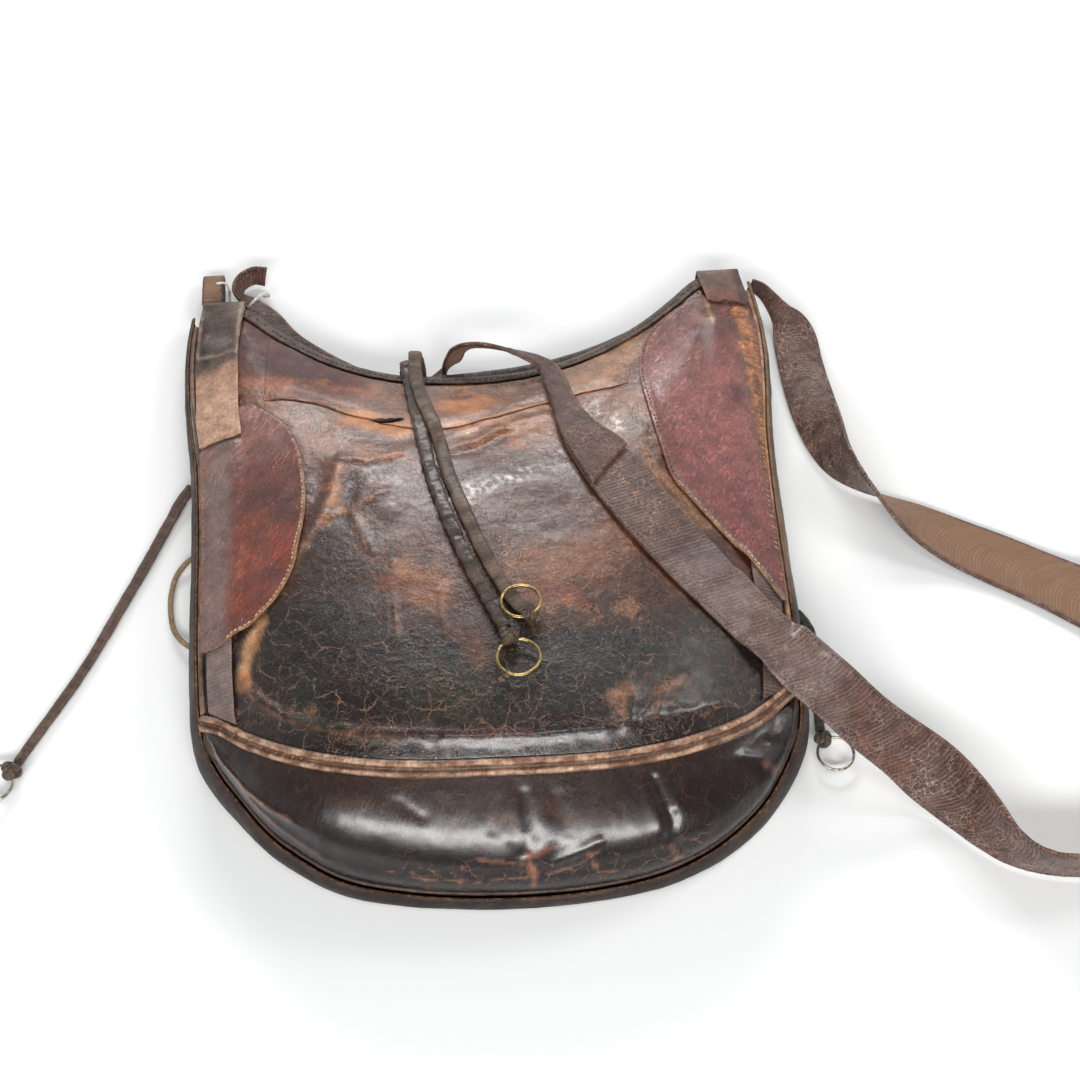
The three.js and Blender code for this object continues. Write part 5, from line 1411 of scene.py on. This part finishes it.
lineX = np.linspace(-piping["reach"], piping["reach"], 41)
pipingLine = smoothLine(onFront(lineX, pipingY(lineX))[0])
t = stations(62, bandLook["step"], 1.0)
k = mix(bandLook["start"], 1 - bandLook["start"], stations(330, bandLook["step"], 1.0))
k, t = np.meshgrid(k, t, indexing="ij")    # k along the band, t down it
grid = bandPlace(k, t)
out = facingUp(normalsOf(grid), (0, -1, 0.6))
x, y = bandLook["long"] * k, bandLook["deep"] * t
rise = 0.4 * noise(x, y, 30, 101, 2) + 0.14 * noise(x, y * 0.6, 6, 102, 3)
rise = rise + 0.1 * noise(x, y * 0.2, 2.4, 107, 2)
for line, reach, high in bandLook["folds"]:
    away = nearLine(x, y, line) + 0.4 * noise(x, y, 4, 103)
    rise = rise + high * np.exp(-(away / reach) ** 2)
rise = rise * smooth(np.minimum(t, 1 - t) / 0.12) * smooth((np.minimum(k, 1 - k) - bandLook["start"]) / 0.03)
colour = painted(x, y, banded(t + 0.08 * noise(x, y, 14, 104, 3), bandLook["stops"]), bandLook["strokes"])
colour = varied(colour, 0.2 * noise(x, y, 5, 105, 4))
crack = 0.15 + 0.75 * smooth((t - 0.55) / 0.15) * smooth((k - 0.33) / 0.06) * smooth((0.8 - k) / 0.06)
band = shell("bottom_band_leather", grid + out * (rise[..., None] - hide / 2), out, hide, bandLeather, {
    "tint": colour, "crack": crack, "rough": 0.3 + 0.05 * noise(x, y, 9, 106, 2),
    "shine": smooth((0.8 - t) / 0.25) * (1.0 + 0.35 * noise(x, y * 0.3, 3, 108, 3))})
finished(band, "glossy_leather", "bottom_band")

gussetLook = {
    "length": 900, "deep": 34, "step": 1.9,
    # the tan at its outer edge is the back seam's edge, and partly painted light on that lit rim
    "stops": ((0, "4a372c"), (5, "2c211d"), (20, "201917"), (31, "2a201c"), (33.5, "8a6a50")),
}
u = stations(gussetLook["length"], gussetLook["step"], 1.0) * 0.994 + 0.003
point, out = along(seam, u), outward(u)
top = point + out * 1.75 - (0, 0, 0.9)
foot = point + out * 0.16 * point[:, 2:]
foot[:, 2] = backHeight(point[:, 1]) + 0.2
part = stations(gussetLook["deep"], gussetLook["step"], 1.0)[None, :, None]
swell = (0.11 * (top[:, 2] - foot[:, 2]))[:, None, None]
grid = mix(top[:, None], foot[:, None], part) + out[:, None] * swell * 4 * part * (1 - part)
run, deep = np.meshgrid(u * gussetLook["length"], part[0, :, 0] * gussetLook["deep"], indexing="ij")
wave = 0.5 * noise(run, deep, 26, 111, 2) + 0.25 * noise(run, deep * 0.4, 7, 112, 2)
grid = grid + out[:, None] * (wave * smooth(np.minimum(part[..., 0], 1 - part[..., 0]) / 0.2))[..., None]
out = facingUp(normalsOf(grid), grid - (0, 0, 10))
colour = banded(deep + 6 * noise(run, deep, 17, 113, 3), gussetLook["stops"])
colour = varied(colour, 0.2 * noise(run, deep, 6, 114, 4))
right = smooth((grid[..., 0] - 100) / 20) * smooth((grid[..., 1] + 60) / 30) * smooth((16 - deep) / 6)
colour = tinted(colour, "8b745f", 0.8 * right)
gusset = shell("gusset_leather", grid + out * 1.0, out, hide, sideLeather, {
    "tint": colour, "crack": 0.3 + 0 * run, "rough": 0.58 + 0.06 * noise(run, deep, 12, 115)})
finished(gusset, "glossy_leather", "gusset")
print("back, gusset and band made")


# welts, piping and bindings

def weltPiece(name, welt):
    points = spaced(along(seam, np.linspace(welt["first"], welt["last"], 700)), 1.4)
    side, top = framesAlong(points)
    run = lengths(points)[:, None]
    angle = turns(14)[None]
    # drawn in a little at every stitch
    drawn = 0.05 * np.cos(run / 3.1 * 2 * np.pi) ** 6
    radius = welt["radius"] * (1 + 0.06 * noise(run, angle * 2, 5, 121, 2) - drawn)
    shape = np.stack([radius * np.cos(angle), radius * np.sin(angle)], -1)
    blend = smooth(0.5 + 0.7 * noise(run, angle * 2, 7, 122, 3))[..., None]
    paint = cordPaint(mix(shade(welt["tint"][0]), shade(welt["tint"][1]), blend), 0.25, 0.46)
    for low, high, code in welt["patches"]:
        inside = smooth((points[:, 1] - low) / 3) * smooth((high - points[:, 1]) / 3)
        paint["tint"] = mix(paint["tint"], shade(code), 0.7 * inside[:, None, None])
    return tube(name + "_leather", points, side, top, shape, pipingLeather, paint)


weltGap = 0.0056
welts = {
    "side_welt_left": {
        "first": 0.012, "last": bottomStart - weltGap, "radius": 1.6, "tint": ("4a352b", "a5846a"),
        "patches": ((-108, -92, "b08c6c"), (128, 200, "57463c")), "slot": "tan_leather"},
    "side_welt_right": {
        "first": bottomEnd + weltGap, "last": 0.988, "radius": 1.6, "tint": ("ab7657", "edbb95"),
        "patches": ((24, 92, "d08d55"), (-60, 5, "7d4c3a"), (150, 200, "7a5c48")), "slot": "tan_leather"},
    "bottom_welt": {
        "first": bottomStart + weltGap, "last": bottomEnd - weltGap, "radius": 1.3,
        "tint": ("1c1614", "5b4436"), "patches": (), "slot": "glossy_leather"},
}
for name, welt in welts.items():
    finished(weltPiece(name, welt), welt["slot"], name)

pipingLook = {
    # its outline: places across from the upper edge to the lower one, and their heights
    "profile": ((-4.4, 0.35), (-4.2, 0.9), (-3.3, 1.7), (-2.4, 2.1), (-1.5, 1.6), (-0.8, 0.9), (0.0, 0.75),
                (0.7, 1.1), (1.6, 2.2), (2.5, 2.55), (3.4, 2.0), (4.2, 0.95), (4.4, 0.35), (3.0, 0.2),
                (2.4, -0.9), (0, -1.2), (-2.4, -0.9), (-3.0, 0.2)),
}
x = np.linspace(-piping["end"], piping["end"], 500)
ends = [along(seam, u) + outward(np.array([u]))[0] * 0.6 + (0, 0, 1.2) for u in (bottomStart, bottomEnd)]
route = onFront(x, pipingY(x))[0]
points = spaced(smoothLine(np.vstack([ends[0][None], route[::25], ends[1][None]])), 1.1)
side, top = framesAlong(points, np.array([0, -0.55, 0.83]))
shape = np.array(pipingLook["profile"])[::-1] * (-1, 1)
shape = along(smoothLine(np.vstack([shape, shape[:1]]), 6), np.linspace(0, 1, 41)[:-1])
run = lengths(points)[:, None]
across = shape[None, :, 0]
lump = 0.3 * noise(run, across, 5, 131, 3) + 0.3 * noise(run, across * 0.5, 15, 132, 2)
shape = np.stack([np.broadcast_to(shape[None, :, 0], lump.shape),
                  shape[None, :, 1] + lump * (shape[None, :, 1] > 0.3)], -1)
blend = smooth(0.5 + 1.1 * noise(run, across * 2, 5, 133, 4))[..., None]
ridge = smooth((shape[..., 1] - 1.0) / 0.9)[..., None]
colour = mix(shade("4a2f20"), mix(shade("85593e"), shade("d8b091"), blend), 0.25 + 0.75 * ridge)
pipe = tube("piping_leather", points, side, top, shape, pipingLeather,
            cordPaint(colour, 0.5, 0.42 - 0.1 * (across < 0)))
finished(pipe, "tan_leather", "front_piping")

bindingProfile = ((-6, 1.6), (-6, 2.5), (-5.2, 2.85), (-2.5, 2.75), (0.2, 2.7), (1.7, 2.2), (2.3, 0.9),
                  (2.4, 0), (2.3, -0.9), (1.7, -2.2), (0.2, -2.7), (-2.5, -2.75), (-5.2, -2.85), (-6, -2.5),
                  (-6, -1.7), (-5, -1.55), (0.6, -1.5), (0.9, 0), (0.6, 1.5), (-5, 1.55))


def bindingPiece(name, points, side, top, codes):
    fine = along(np.array([*bindingProfile, bindingProfile[0]]), np.linspace(0, 1, 61)[:-1])
    run = lengths(points)[:, None]
    across = fine[None, :, 0]
    outside = ((np.abs(fine[:, 1]) > 2.4) | (fine[:, 0] > 1.2))[None]
    gather = 0.16 * np.maximum(noise(run, across * 0.2, 1.9, 141, 2), -0.4)
    gather = gather + 0.12 * noise(run, across, 8, 142, 2)
    groove = -0.3 * np.exp(-((across + 3.2) / 0.5) ** 2)
    lump = (gather + groove) * outside * 0.6
    grown = np.stack([fine[None, :, 0] + 0 * lump, fine[None, :, 1] + lump * np.sign(fine[None, :, 1])], -1)
    blend = smooth(0.45 + 0.7 * noise(run, across, 4, 143, 4))[..., None]
    low, high = shade(codes[0]), shade(codes[1])
    rubbed = (np.exp(-((across - 2.0) / 0.8) ** 2) * smooth(0.4 + noise(run, 0, 12, 144, 2)))[..., None]
    colour = mix(mix(low, high, blend), shade("8a6a52"), 0.5 * rubbed)
    return tube(name + "_leather", points, side, top, grown, thongLeather, cordPaint(colour, 0.3, 0.46), ends=0)


b = np.linspace(-1, 1, 420)
edgeX = b * mouthReach
points, out = onFront(edgeX, mouthY(edgeX), -hide / 2)
points = spaced(points, 0.9)
out = onFront(points[:, 0], points[:, 1])[1]
run = unit(np.gradient(points, axis=0))
side = unit(np.cross(out, run))
finished(bindingPiece("front_binding", points, side, np.cross(run, side), ("41332c", "7d6655")),
         "glossy_leather", "front_binding")
backReach = float(backEdge(backEnds[1])[0])
edgeX = b * backReach
edgeY = backMouthY(edgeX)
points = spaced(np.stack([edgeX, edgeY, backHeight(edgeY) + hide / 2], -1), 0.9)
side, top = framesAlong(points)
finished(bindingPiece("back_binding", points, -side, top, ("352a25", "6b5546")),
         "glossy_leather", "back_binding")
print("welts, piping and bindings made")


# shoulder strap: x, y, z, roll, width, and 1 where z is over the bag and not over the floor

strapLook = {
    "across": 30, "fine": 1.35, "joint": 24, "lap": 1, "lapWidth": 22, "passUnder": 12, "step": 1.5,
    "rows": (
        (-127, 215.5, 6.2, 65, 13, 0), (-135, 216.5, 6.6, 76, 13, 0), (-143, 211, 6.8, 80, 13, 0),
        (-144.5, 202, 6.2, 60, 13, 0), (-137, 194.5, 4.2, 26, 13.5, 0), (-125, 184, 2.2, 6, 13, 0),
        (-108, 163, 0.35, 0, 13, 0), (-74, 137, 0.35, 0, 13, 0), (-42, 122.5, 0.35, 0, 13, 0),
        (-30, 125, 0.35, 0, 12, 0), (-22.5, 130.5, 1, 6, 10.5, 0), (-18, 134, 5, 30, 10, 0),
        (-15.5, 133, 12.5, 52, 10, 0), (-13.4, 131, 20.5, 58, 10, 0), (-11, 129.6, 27.5, 58, 10.5, 0),
        (-6, 128.3, 32.5, 58, 11.5, 0), (3, 126, 35.3, 58, 13, 0), (15, 121.5, 36.3, 54, 13, 0),
        (26, 117.2, 35, 42, 13, 0), (34, 114, 32.8, 26, 12.5, 0), (40, 108, 3.5, 10, 12.5, 1),
        (43, 94, 3.4, 0, 13, 1), (46.5, 72, 3.4, 0, 15, 1), (53, 49, 3.4, 0, 22.5, 1), (66, 22, 3.4, 0, 32, 1),
        (84, -12, 0.6, 0, 35, 1), (103, -41, 0.6, 0, 34.5, 1), (121, -63, 0.6, 0, 34, 1),
        (136, -79, 1.7, 0, 34, 1), (151, -94, 43.5, 0, 34, 0), (167, -108, 36.5, 0, 34, 0),
        (184, -122, 26, 0, 34, 0), (203, -136, 17.5, -6, 34, 0), (218.5, -150, 13, -36, 34, 0),
        (229, -164, 14.5, -56, 34, 0), (237.5, -177.5, 16.6, -72, 34, 0), (246, -189, 17.4, -88, 34, 0),
        (259, -197, 17.5, -96, 34, 0), (279, -200, 17.4, -93, 34, 0), (301, -198, 17.4, -90, 34, 0),
        (323, -190, 17.4, -90, 34, 0), (343, -174, 17.4, -90, 34, 0), (356, -152, 17.4, -90, 34, 0),
        (361, -127, 17.4, -92, 34, 0), (358, -103, 17.4, -100, 34, 0), (349, -82, 16.5, -118, 34, 0),
        (336, -63, 12.5, -142, 34, 0), (319, -46, 6.3, -168, 34, 0), (300, -31, 3.4, -178, 34, 0),
        (280, -18, 3, -180, 34, 0), (258, -5, 4.6, -186, 33, 0), (237, 9, 8.8, -203, 31, 0),
        (219, 23.5, 14, -238, 29, 0), (206, 40, 15, -272, 28, 0), (199.5, 56, 12.5, -300, 28, 0),
        (195.6, 80, 7.5, -325, 27.5, 0), (193.6, 104, 3.6, -343, 27, 0), (192.6, 125, 2.2, -352, 26.5, 0),
        (192.2, 144, 2.4, -352, 26, 0), (190, 155, 4.6, -344, 21, 0), (185.4, 162.5, 7.6, -325, 13.5, 0),
        (180.8, 172, 9, -310, 10.5, 0), (176.6, 179.5, 9.4, -294, 10, 0), (170.5, 184.2, 9.6, -275, 10, 0),
    ),
}


def strapGrid(rows, first, last, acrossParts):
    rows = np.array(rows, float)
    base = np.where(rows[:, 5] > 0, restHeight(rows[:, 0], rows[:, 1]), 0)
    rows[:, 2] += base
    numbers = np.arange(len(rows))
    read = [column(numbers, rows[:, i]) for i in range(6)]
    at = np.linspace(first, last, 4000)
    place = np.stack([read[i](at) for i in range(3)], -1)
    run = lengths(place)
    at = np.interp(stations(run[-1], strapLook["step"], strapLeather / 2) * run[-1], run, at)
    x, y, z, roll, width, rest = (read[i](at) for i in range(6))
    points = np.stack([x, y, z], -1)
    ahead = np.stack([read[i](np.clip(at + 0.45, first, last)) for i in range(3)], -1)
    behind = np.stack([read[i](np.clip(at - 0.45, first, last)) for i in range(3)], -1)
    run = unit(ahead - behind)
    side = unit(np.cross(run, np.broadcast_to(up, run.shape)))
    top = np.cross(side, run)
    angle = np.radians(roll)[:, None]
    across = side * np.cos(angle) + top * np.sin(angle)
    for _ in range(2):
        padded = np.vstack([across[:1]] * 4 + [across] + [across[-1:]] * 4)
        across = unit(sum(padded[i:i + len(across)] for i in range(9)))
    across = unit(across - run * (across * run).sum(axis=1, keepdims=True))
    grid = points[:, None] + across[:, None] * (acrossParts[None, :] * width[:, None] / 2)[..., None]
    gx, gy = grid[..., 0], grid[..., 1]
    least = restHeight(gx, gy) + seat
    clear = np.maximum(z - restHeight(x, y), seat)[:, None]
    onBag = (np.abs(gx) < half(gy) + 6) & (gy < mouthY(gx) + 4) & (gy > pipingY(gx) - 6)
    lifted = np.where(onBag & (grid[..., 2] > least - strapLook["passUnder"]),
                      np.maximum(grid[..., 2], least), grid[..., 2])
    lying = smooth((rest - 0.3) / 0.4)[:, None]
    grid[..., 2] = mix(lifted, least - seat + clear, lying)
    # the straight runs of the solids smooth the sags between their rows
    for _ in range(6):
        grid[1:-1, :, 2] = np.maximum(grid[1:-1, :, 2], (grid[:-2, :, 2] + grid[2:, :, 2]) / 2)
    return grid, width, unit(np.cross(across, run))


def strapPaint(run, over, width, wide):
    # run along in mm, over from -1 to 1 across
    deep = over * width[:, None] / 2
    colour = banded(0 * deep + noise(run, deep, 30, 151, 3), ((-1, "3d2620"), (0, "52342b"), (1, "684538")))
    scuff = smooth((noise(run, deep, 9, 152, 4) - 0.42) / 0.2)
    colour = tinted(colour, "8a5432", 0.5 * scuff)
    # tan wear along the right edge; along the left edge a painted shadow, darker
    edgeNear = smooth((np.abs(deep) - width[:, None] / 2 + (1.6 if wide else 2.6)) / 1.6)
    rubbed = 0.75 * smooth(0.3 + noise(run, deep, 10, 154, 2)) * (deep < 0)
    colour = tinted(colour, "2b1d18", 0.7 * edgeNear * (deep > 0))
    colour = tinted(colour, "a8714a", edgeNear * rubbed * (0.5 if wide else 1.0))
    colour = varied(colour, 0.22 * noise(run, deep * 0.5, 4, 155, 4)) * (1 if wide else (0.74, 0.45, 0.36))
    spots = smooth((noise(run, deep, 6, 158, 3) - 0.5) / 0.16) * smooth((96 - run) / 20) * (run > 24)
    colour = tinted(colour, "a9683a", 0.75 * spots * wide)
    # a polished stretch of the wide strap: real gloss and fewer cracks, and a paler silvery grey there that is
    # a painted sheen
    polishAndPaintedSheen = smooth((run - 78) / 30) * smooth((230 - run) / 40) * wide
    colour = tinted(colour, "8d8280", 0.42 * polishAndPaintedSheen * smooth(0.55 + noise(run, deep * 0.3, 7, 159, 3)))
    crack = (0.9 if wide else 0.55) - 0.4 * polishAndPaintedSheen + 0.4 * noise(run, deep, 16, 156, 2)
    return {"tint": colour, "crack": clamp01(crack),
            "rough": (0.4 if wide else 0.47) + 0.06 * noise(run, deep, 14, 157),
            "shine": 0.4 * polishAndPaintedSheen * (1 - 0.6 * deep / width[:, None])}


def strapPiece(name, rows, first, last, wide):
    parts = mix(-1, 1, stations(strapLook["across"], strapLook["fine"], strapLeather / 2))
    grid, width, out = strapGrid(rows, first, last, parts)
    run = lengths(grid[:, len(parts) // 2])[:, None] + 0 * parts[None]
    deep = parts[None] * width[:, None] / 2
    wave = noise(run + 1.5 * noise(run, deep, 12, 161), deep * 0.1, 3.4, 162, 2)
    crease = -0.22 * smooth((0.16 - np.abs(wave)) / 0.12)
    crease = crease * (1 + 0.9 * smooth((run - 70) / 30) * wide) + 0.12 * noise(run, deep, 7, 163, 2)
    line = -0.25 * np.exp(-((np.abs(deep) - width[:, None] / 2 + 2.6) / 0.5) ** 2) * (width[:, None] > 20)
    fade = smooth((width[:, None] / 2 - np.abs(deep)) / 1.5)
    normal = unit(facingUp(normalsOf(grid), out[:, None]))
    if not wide:  # the end that shows is cut on a slant
        slant = np.clip(1 - (run[-1:] - run) / 34, 0, 1) * parts[None] * 8
        grid = grid + slant[..., None] * unit(grid[-1, 15] - grid[-4, 15])
    middle = grid + normal * (strapLeather / 2) + normal * ((crease + line) * fade * 0.8)[..., None]
    paint = strapPaint(run, parts[None] + 0 * run, width, wide)
    piece = shell(name + "_leather", middle, normal, strapLeather, strapLeatherLook, paint)
    finished(piece, "strap_leather", name)
    return parts, middle, normal, width


joint = strapLook["joint"]
narrowStrap = strapPiece("shoulder_strap_narrow", strapLook["rows"], 0, joint, False)
wideRows = [row if i > joint else (*row[:2], 0.5, row[3], max(row[4], strapLook["lapWidth"]), row[5])
            for i, row in enumerate(strapLook["rows"])]
wideStrap = strapPiece("shoulder_strap_wide", wideRows, joint - strapLook["lap"], len(wideRows) - 1, True)
print("strap made")


# folded stub behind the left shoulder, and the string that ties the strap's end to it

stubLook = {"x": -159, "half": 6.5, "leather": 2,
            "rows": ((168, 0.35), (190, 0.35), (209, 0.9), (216.5, 3.4), (217.5, 6.6), (213, 9), (203, 9.4),
                     (193.5, 8.6))}
numbers = np.arange(len(stubLook["rows"]))
fine = np.linspace(0, numbers[-1], 90)
line = np.stack([column(numbers, values)(fine) for values in zip(*stubLook["rows"])], -1)
line = along(line, stations(lengths(line)[-1], 1.0, 1.0))
parts = mix(-1, 1, stations(13, 1.0, 1.0))
x = stubLook["x"] + parts[None] * stubLook["half"]
grid = np.stack(np.broadcast_arrays(x, line[:, :1], line[:, 1:]), -1)
out = normalsOf(grid)
out = out * np.sign(out[5, 5, 2])
run = lengths(line)[:, None] + 0 * parts
paint = strapPaint(run, parts[None] + 0 * run, np.full(len(line), 2 * stubLook["half"]), False)
stub = shell("strap_stub_leather", grid + out * stubLook["leather"] / 2, out, stubLook["leather"],
             strapLeatherLook, paint)
finished(stub, "strap_leather", "strap_stub")

stringRoute = ((-156, 206, 12.4), (-151.5, 208, 10), (-149.8, 207, 4), (-149.6, 200, 1.2), (-145, 191.6, 2.2),
               (-139, 187.2, 8), (-132, 189, 15), (-126.5, 194, 15), (-125, 199, 6), (-129, 203, 1.4))
points = spaced(smoothLine(stringRoute), 0.7)
side, top = framesAlong(points, np.array([0.2, 0.4, 0.9]))
run = lengths(points)[:, None]
angle = turns(12)[None]
radius = 0.66 + 0.16 * np.cos(2 * (angle - run / 2.2 * np.pi))
shape = np.stack([radius * np.cos(angle), radius * np.sin(angle)], -1)
tie = tube("string", points, side, top, shape, whiteString)
finished(tie, "white_string", "string_tie")


# stitches, laid along a line of places by Geometry Nodes

def stitchTree():
    tree = bpy.data.node_groups.new("stitchRun", "GeometryNodeTree")
    tree.interface.new_socket("Geometry", in_out="INPUT", socket_type="NodeSocketGeometry")
    for label, kind, value in (("Spacing", "Float", 0.004), ("Size", "Vector", (0.0015, 0.0005, 0.0004)),
                               ("Missing", "Float", 0.1), ("Turn", "Float", 0.0), ("Seed", "Int", 1)):
        tree.interface.new_socket(label, in_out="INPUT", socket_type="NodeSocket" + kind).default_value = value
    tree.interface.new_socket("Thread", in_out="INPUT", socket_type="NodeSocketMaterial")
    tree.interface.new_socket("Geometry", in_out="OUTPUT", socket_type="NodeSocketGeometry")
    given, result = tree.nodes.new("NodeGroupInput"), tree.nodes.new("NodeGroupOutput")
    out = given.outputs
    curve = put(tree, "GeometryNodeMeshToCurve", {"Mesh": out["Geometry"]})
    even = put(tree, "GeometryNodeResampleCurve", {"Curve": curve.outputs[0], "Length": out["Spacing"]},
               mode="LENGTH")
    points = put(tree, "GeometryNodeCurveToPoints", {"Curve": even.outputs[0]}, mode="EVALUATED")
    facing = put(tree, "GeometryNodeInputNamedAttribute", {"Name": "facing"}, data_type="FLOAT_VECTOR")
    chance = put(tree, "FunctionNodeRandomValue", {"Probability": out["Missing"], "Seed": out["Seed"]},
                 data_type="BOOLEAN")
    kept = put(tree, "GeometryNodeDeleteGeometry", {"Geometry": points.outputs["Points"],
                                                    "Selection": chance.outputs[3]}, domain="POINT")
    bead = put(tree, "GeometryNodeMeshIcoSphere", {"Radius": 1.0, "Subdivisions": 2})
    first = put(tree, "FunctionNodeAlignRotationToVector", {"Vector": facing.outputs[0]}, axis="Z")
    second = put(tree, "FunctionNodeAlignRotationToVector", {
        "Rotation": first.outputs[0], "Vector": points.outputs["Tangent"]}, axis="X", pivot_axis="Z")
    turn = put(tree, "ShaderNodeCombineXYZ", {2: out["Turn"]})
    spin = put(tree, "FunctionNodeRotateRotation", {
        "Rotation": second.outputs[0], "Rotate By": turn.outputs[0]}, rotation_space="LOCAL")
    vary = put(tree, "FunctionNodeRandomValue", {
        0: (0.8, 0.85, 0.8), 1: (1.12, 1.15, 1.2), "Seed": out["Seed"]}, data_type="FLOAT_VECTOR")
    size = put(tree, "ShaderNodeVectorMath", {0: out["Size"], 1: vary.outputs[0]}, operation="MULTIPLY")
    placed = put(tree, "GeometryNodeInstanceOnPoints", {
        "Points": kept.outputs[0], "Instance": bead.outputs["Mesh"], "Rotation": spin.outputs[0],
        "Scale": size.outputs[0]})
    real = put(tree, "GeometryNodeRealizeInstances", {"Geometry": placed.outputs[0]})
    dressed = put(tree, "GeometryNodeSetMaterial", {"Geometry": real.outputs[0], "Material": out["Thread"]})
    rounded = put(tree, "GeometryNodeSetShadeSmooth", {"Geometry": dressed.outputs[0]})
    tree.links.new(rounded.outputs[0], result.inputs[0])
    return tree, {item.name: item.identifier for item in tree.interface.items_tree if item.in_out == "INPUT"}


stitchNodes, stitchInputs = stitchTree()


def stitchRun(name, points, facing, look):
    points, facing = np.asarray(points, float), np.broadcast_to(facing, np.shape(points))
    mesh = bpy.data.meshes.new(name + "_line")
    mesh.from_pydata((points * mm).tolist(), [(i, i + 1) for i in range(len(points) - 1)], [])
    layer = mesh.attributes.new("facing", "FLOAT_VECTOR", "POINT")
    layer.data.foreach_set("vector", facing.astype(np.float32).ravel())
    obj = bpy.data.objects.new(name, mesh)
    bpy.context.collection.objects.link(obj)
    change = obj.modifiers.new("stitches", "NODES")
    change.node_group = stitchNodes
    for label, value in {"Spacing": look["spacing"] * mm, "Size": tuple(s * mm for s in look["size"]),
                         "Missing": look["missing"], "Turn": look["turn"], "Seed": look["seed"],
                         "Thread": look["thread"]}.items():
        change[stitchInputs[label]] = value
    made = bpy.data.meshes.new_from_object(obj.evaluated_get(bpy.context.evaluated_depsgraph_get()))
    obj.modifiers.remove(change)
    obj.data = made
    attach(obj, "root")
    return obj


cream = {"spacing": 2.6, "size": (1.0, 0.42, 0.38), "missing": 0.12, "turn": 0.0, "seed": 3,
         "thread": creamThread, "slot": "tan_leather"}
tan = cream | {"thread": tanThread}
dark = cream | {"thread": darkThread, "spacing": 3.2, "size": (1.15, 0.4, 0.3), "missing": 0.08}
for name, sign, ends, count, inset, lift, look in (
        ("left", -1, (44, -62), 130, 1.7, 0.3, cream),
        ("right", 1, (12, -46), 80, 1.7, 0.3, cream | {"seed": 5, "missing": 0.2}),
        ("right_top", 1, (140, 16), 140, 1.8, 0.15, dark | {"seed": 7}),
        ("seam", 1, (130, -44), 160, 2.0, 0.1,
         tan | {"spacing": 3.4, "size": (1.6, 0.5, 0.4), "turn": 1.1, "seed": 9, "missing": 0.25}),
        ("seam_left", -1, (58, -63), 126, 1.8, 0.1,
         tan | {"spacing": 3.6, "size": (1.2, 0.36, 0.3), "turn": 1.2, "seed": 11, "missing": 0.4})):
    y = np.linspace(*ends, count)
    x = sign * (half(y) - edgeGap - inset) if "seam" in name else wingInner[sign](y) + sign * inset
    stitchRun("stitches_wing_" + name, *onFront(x, y, seat + thin + strapRise(x, y) + lift), look)
x = np.linspace(-138, -96, 60)
stitchRun("stitches_piping", *onFront(x, pipingY(x) - 0.2, 1.3), tan | {
    "spacing": 4.6, "size": (1.3, 0.3, 0.24), "turn": 1.15, "seed": 13})
x = np.linspace(-150, 150, 260)
stitchRun("stitches_binding", *onFront(x, mouthY(x) - 3.2, 1.75), dark | {
    "spacing": 3.4, "size": (1.2, 0.42, 0.3), "seed": 15, "slot": "glossy_leather"})
for label, (parts, middle, normal, width) in (("wide", wideStrap), ("narrow", narrowStrap)):
    for edgeName, sign in (("near", -1), ("far", 1)):
        wanted = sign * np.clip(1 - 2 * 2.6 / np.maximum(width, 6), 0.2, 1)
        row = [np.stack([np.interp(w, parts, middle[i, :, c]) for c in range(3)]) for i, w in enumerate(wanted)]
        facing = np.stack([normal[i, len(parts) // 2] for i in range(len(row))])
        place = np.array(row) + facing * (strapLeather / 2 - 0.12)
        stitchRun(f"stitches_strap_{label}_{edgeName}", place[3:-3], facing[3:-3], dark | {
            "spacing": 2.9, "size": (0.95, 0.36, 0.28), "seed": 17 + sign, "missing": 0.25,
            "slot": "strap_leather"})
print("stitches made")


# studio: a plain pale floor, soft lights, and a bright room with a darker ceiling

floorLook = {"half": 6000, "z": -1.2, "colour": (0.76, 0.77, 0.77, 1), "rough": 0.8}
floorMaterial, tree, shader, place = newMaterial("paleFloor")
feed(tree, shader, {"Base Color": floorLook["colour"], "Roughness": floorLook["rough"]})
corners = [(x * floorLook["half"], y * floorLook["half"], floorLook["z"])
           for x, y in ((-1, -1), (1, -1), (1, 1), (-1, 1))]
floor = makeObject("floor", corners, [(0, 1, 2, 3)], floorMaterial)

world = bpy.data.worlds.new("studio")
world.use_nodes = True
bpy.context.scene.world = world
tree = world.node_tree
direction = put(tree, "ShaderNodeTexCoord").outputs["Generated"]
parts = put(tree, "ShaderNodeSeparateXYZ", {0: direction}).outputs
ceiling = ramp(tree, parts[2], 0.12, 0.7, 0.75, 0.2)
# darker in front, where whoever looks at the bag stands
glow = times(tree, ceiling, ramp(tree, parts[1], -0.55, 0.1, 0.4, 1.0))
feed(tree, tree.nodes["Background"], {"Strength": glow, "Color": (0.93, 0.96, 1.0, 1)})

# place, size, power and tint of each light; all of them face the middle of the bag
softboxes = {
    "backSoftbox": ((-0.05, 1.9, 1.1), (1.15, 0.4), 30, (1.0, 0.985, 0.965)),
    "keySoftbox": ((1.5, 0.7, 1.5), (0.6, 0.6), 12, (1.0, 0.99, 0.97)),
    "frontSoftbox": ((-0.15, -1.5, 1.15), (1.9, 0.34), 40, (1.0, 0.99, 0.98)),
    "topSoftbox": ((0.0, -0.35, 1.9), (0.8, 0.2), 6, (1.0, 1.0, 1.0)),
}
for name, (place, size, power, tint) in softboxes.items():
    data = bpy.data.lights.new(name, "AREA")
    data.shape, data.size, data.size_y = "RECTANGLE", *size
    data.energy, data.color = power, tint
    light = bpy.data.objects.new(name, data)
    bpy.context.collection.objects.link(light)
    light.location = place
    light.rotation_euler = (-Vector(place)).to_track_quat("-Z", "Y").to_euler()
bpy.context.scene.view_settings.view_transform = "Standard"
print("studio ready")
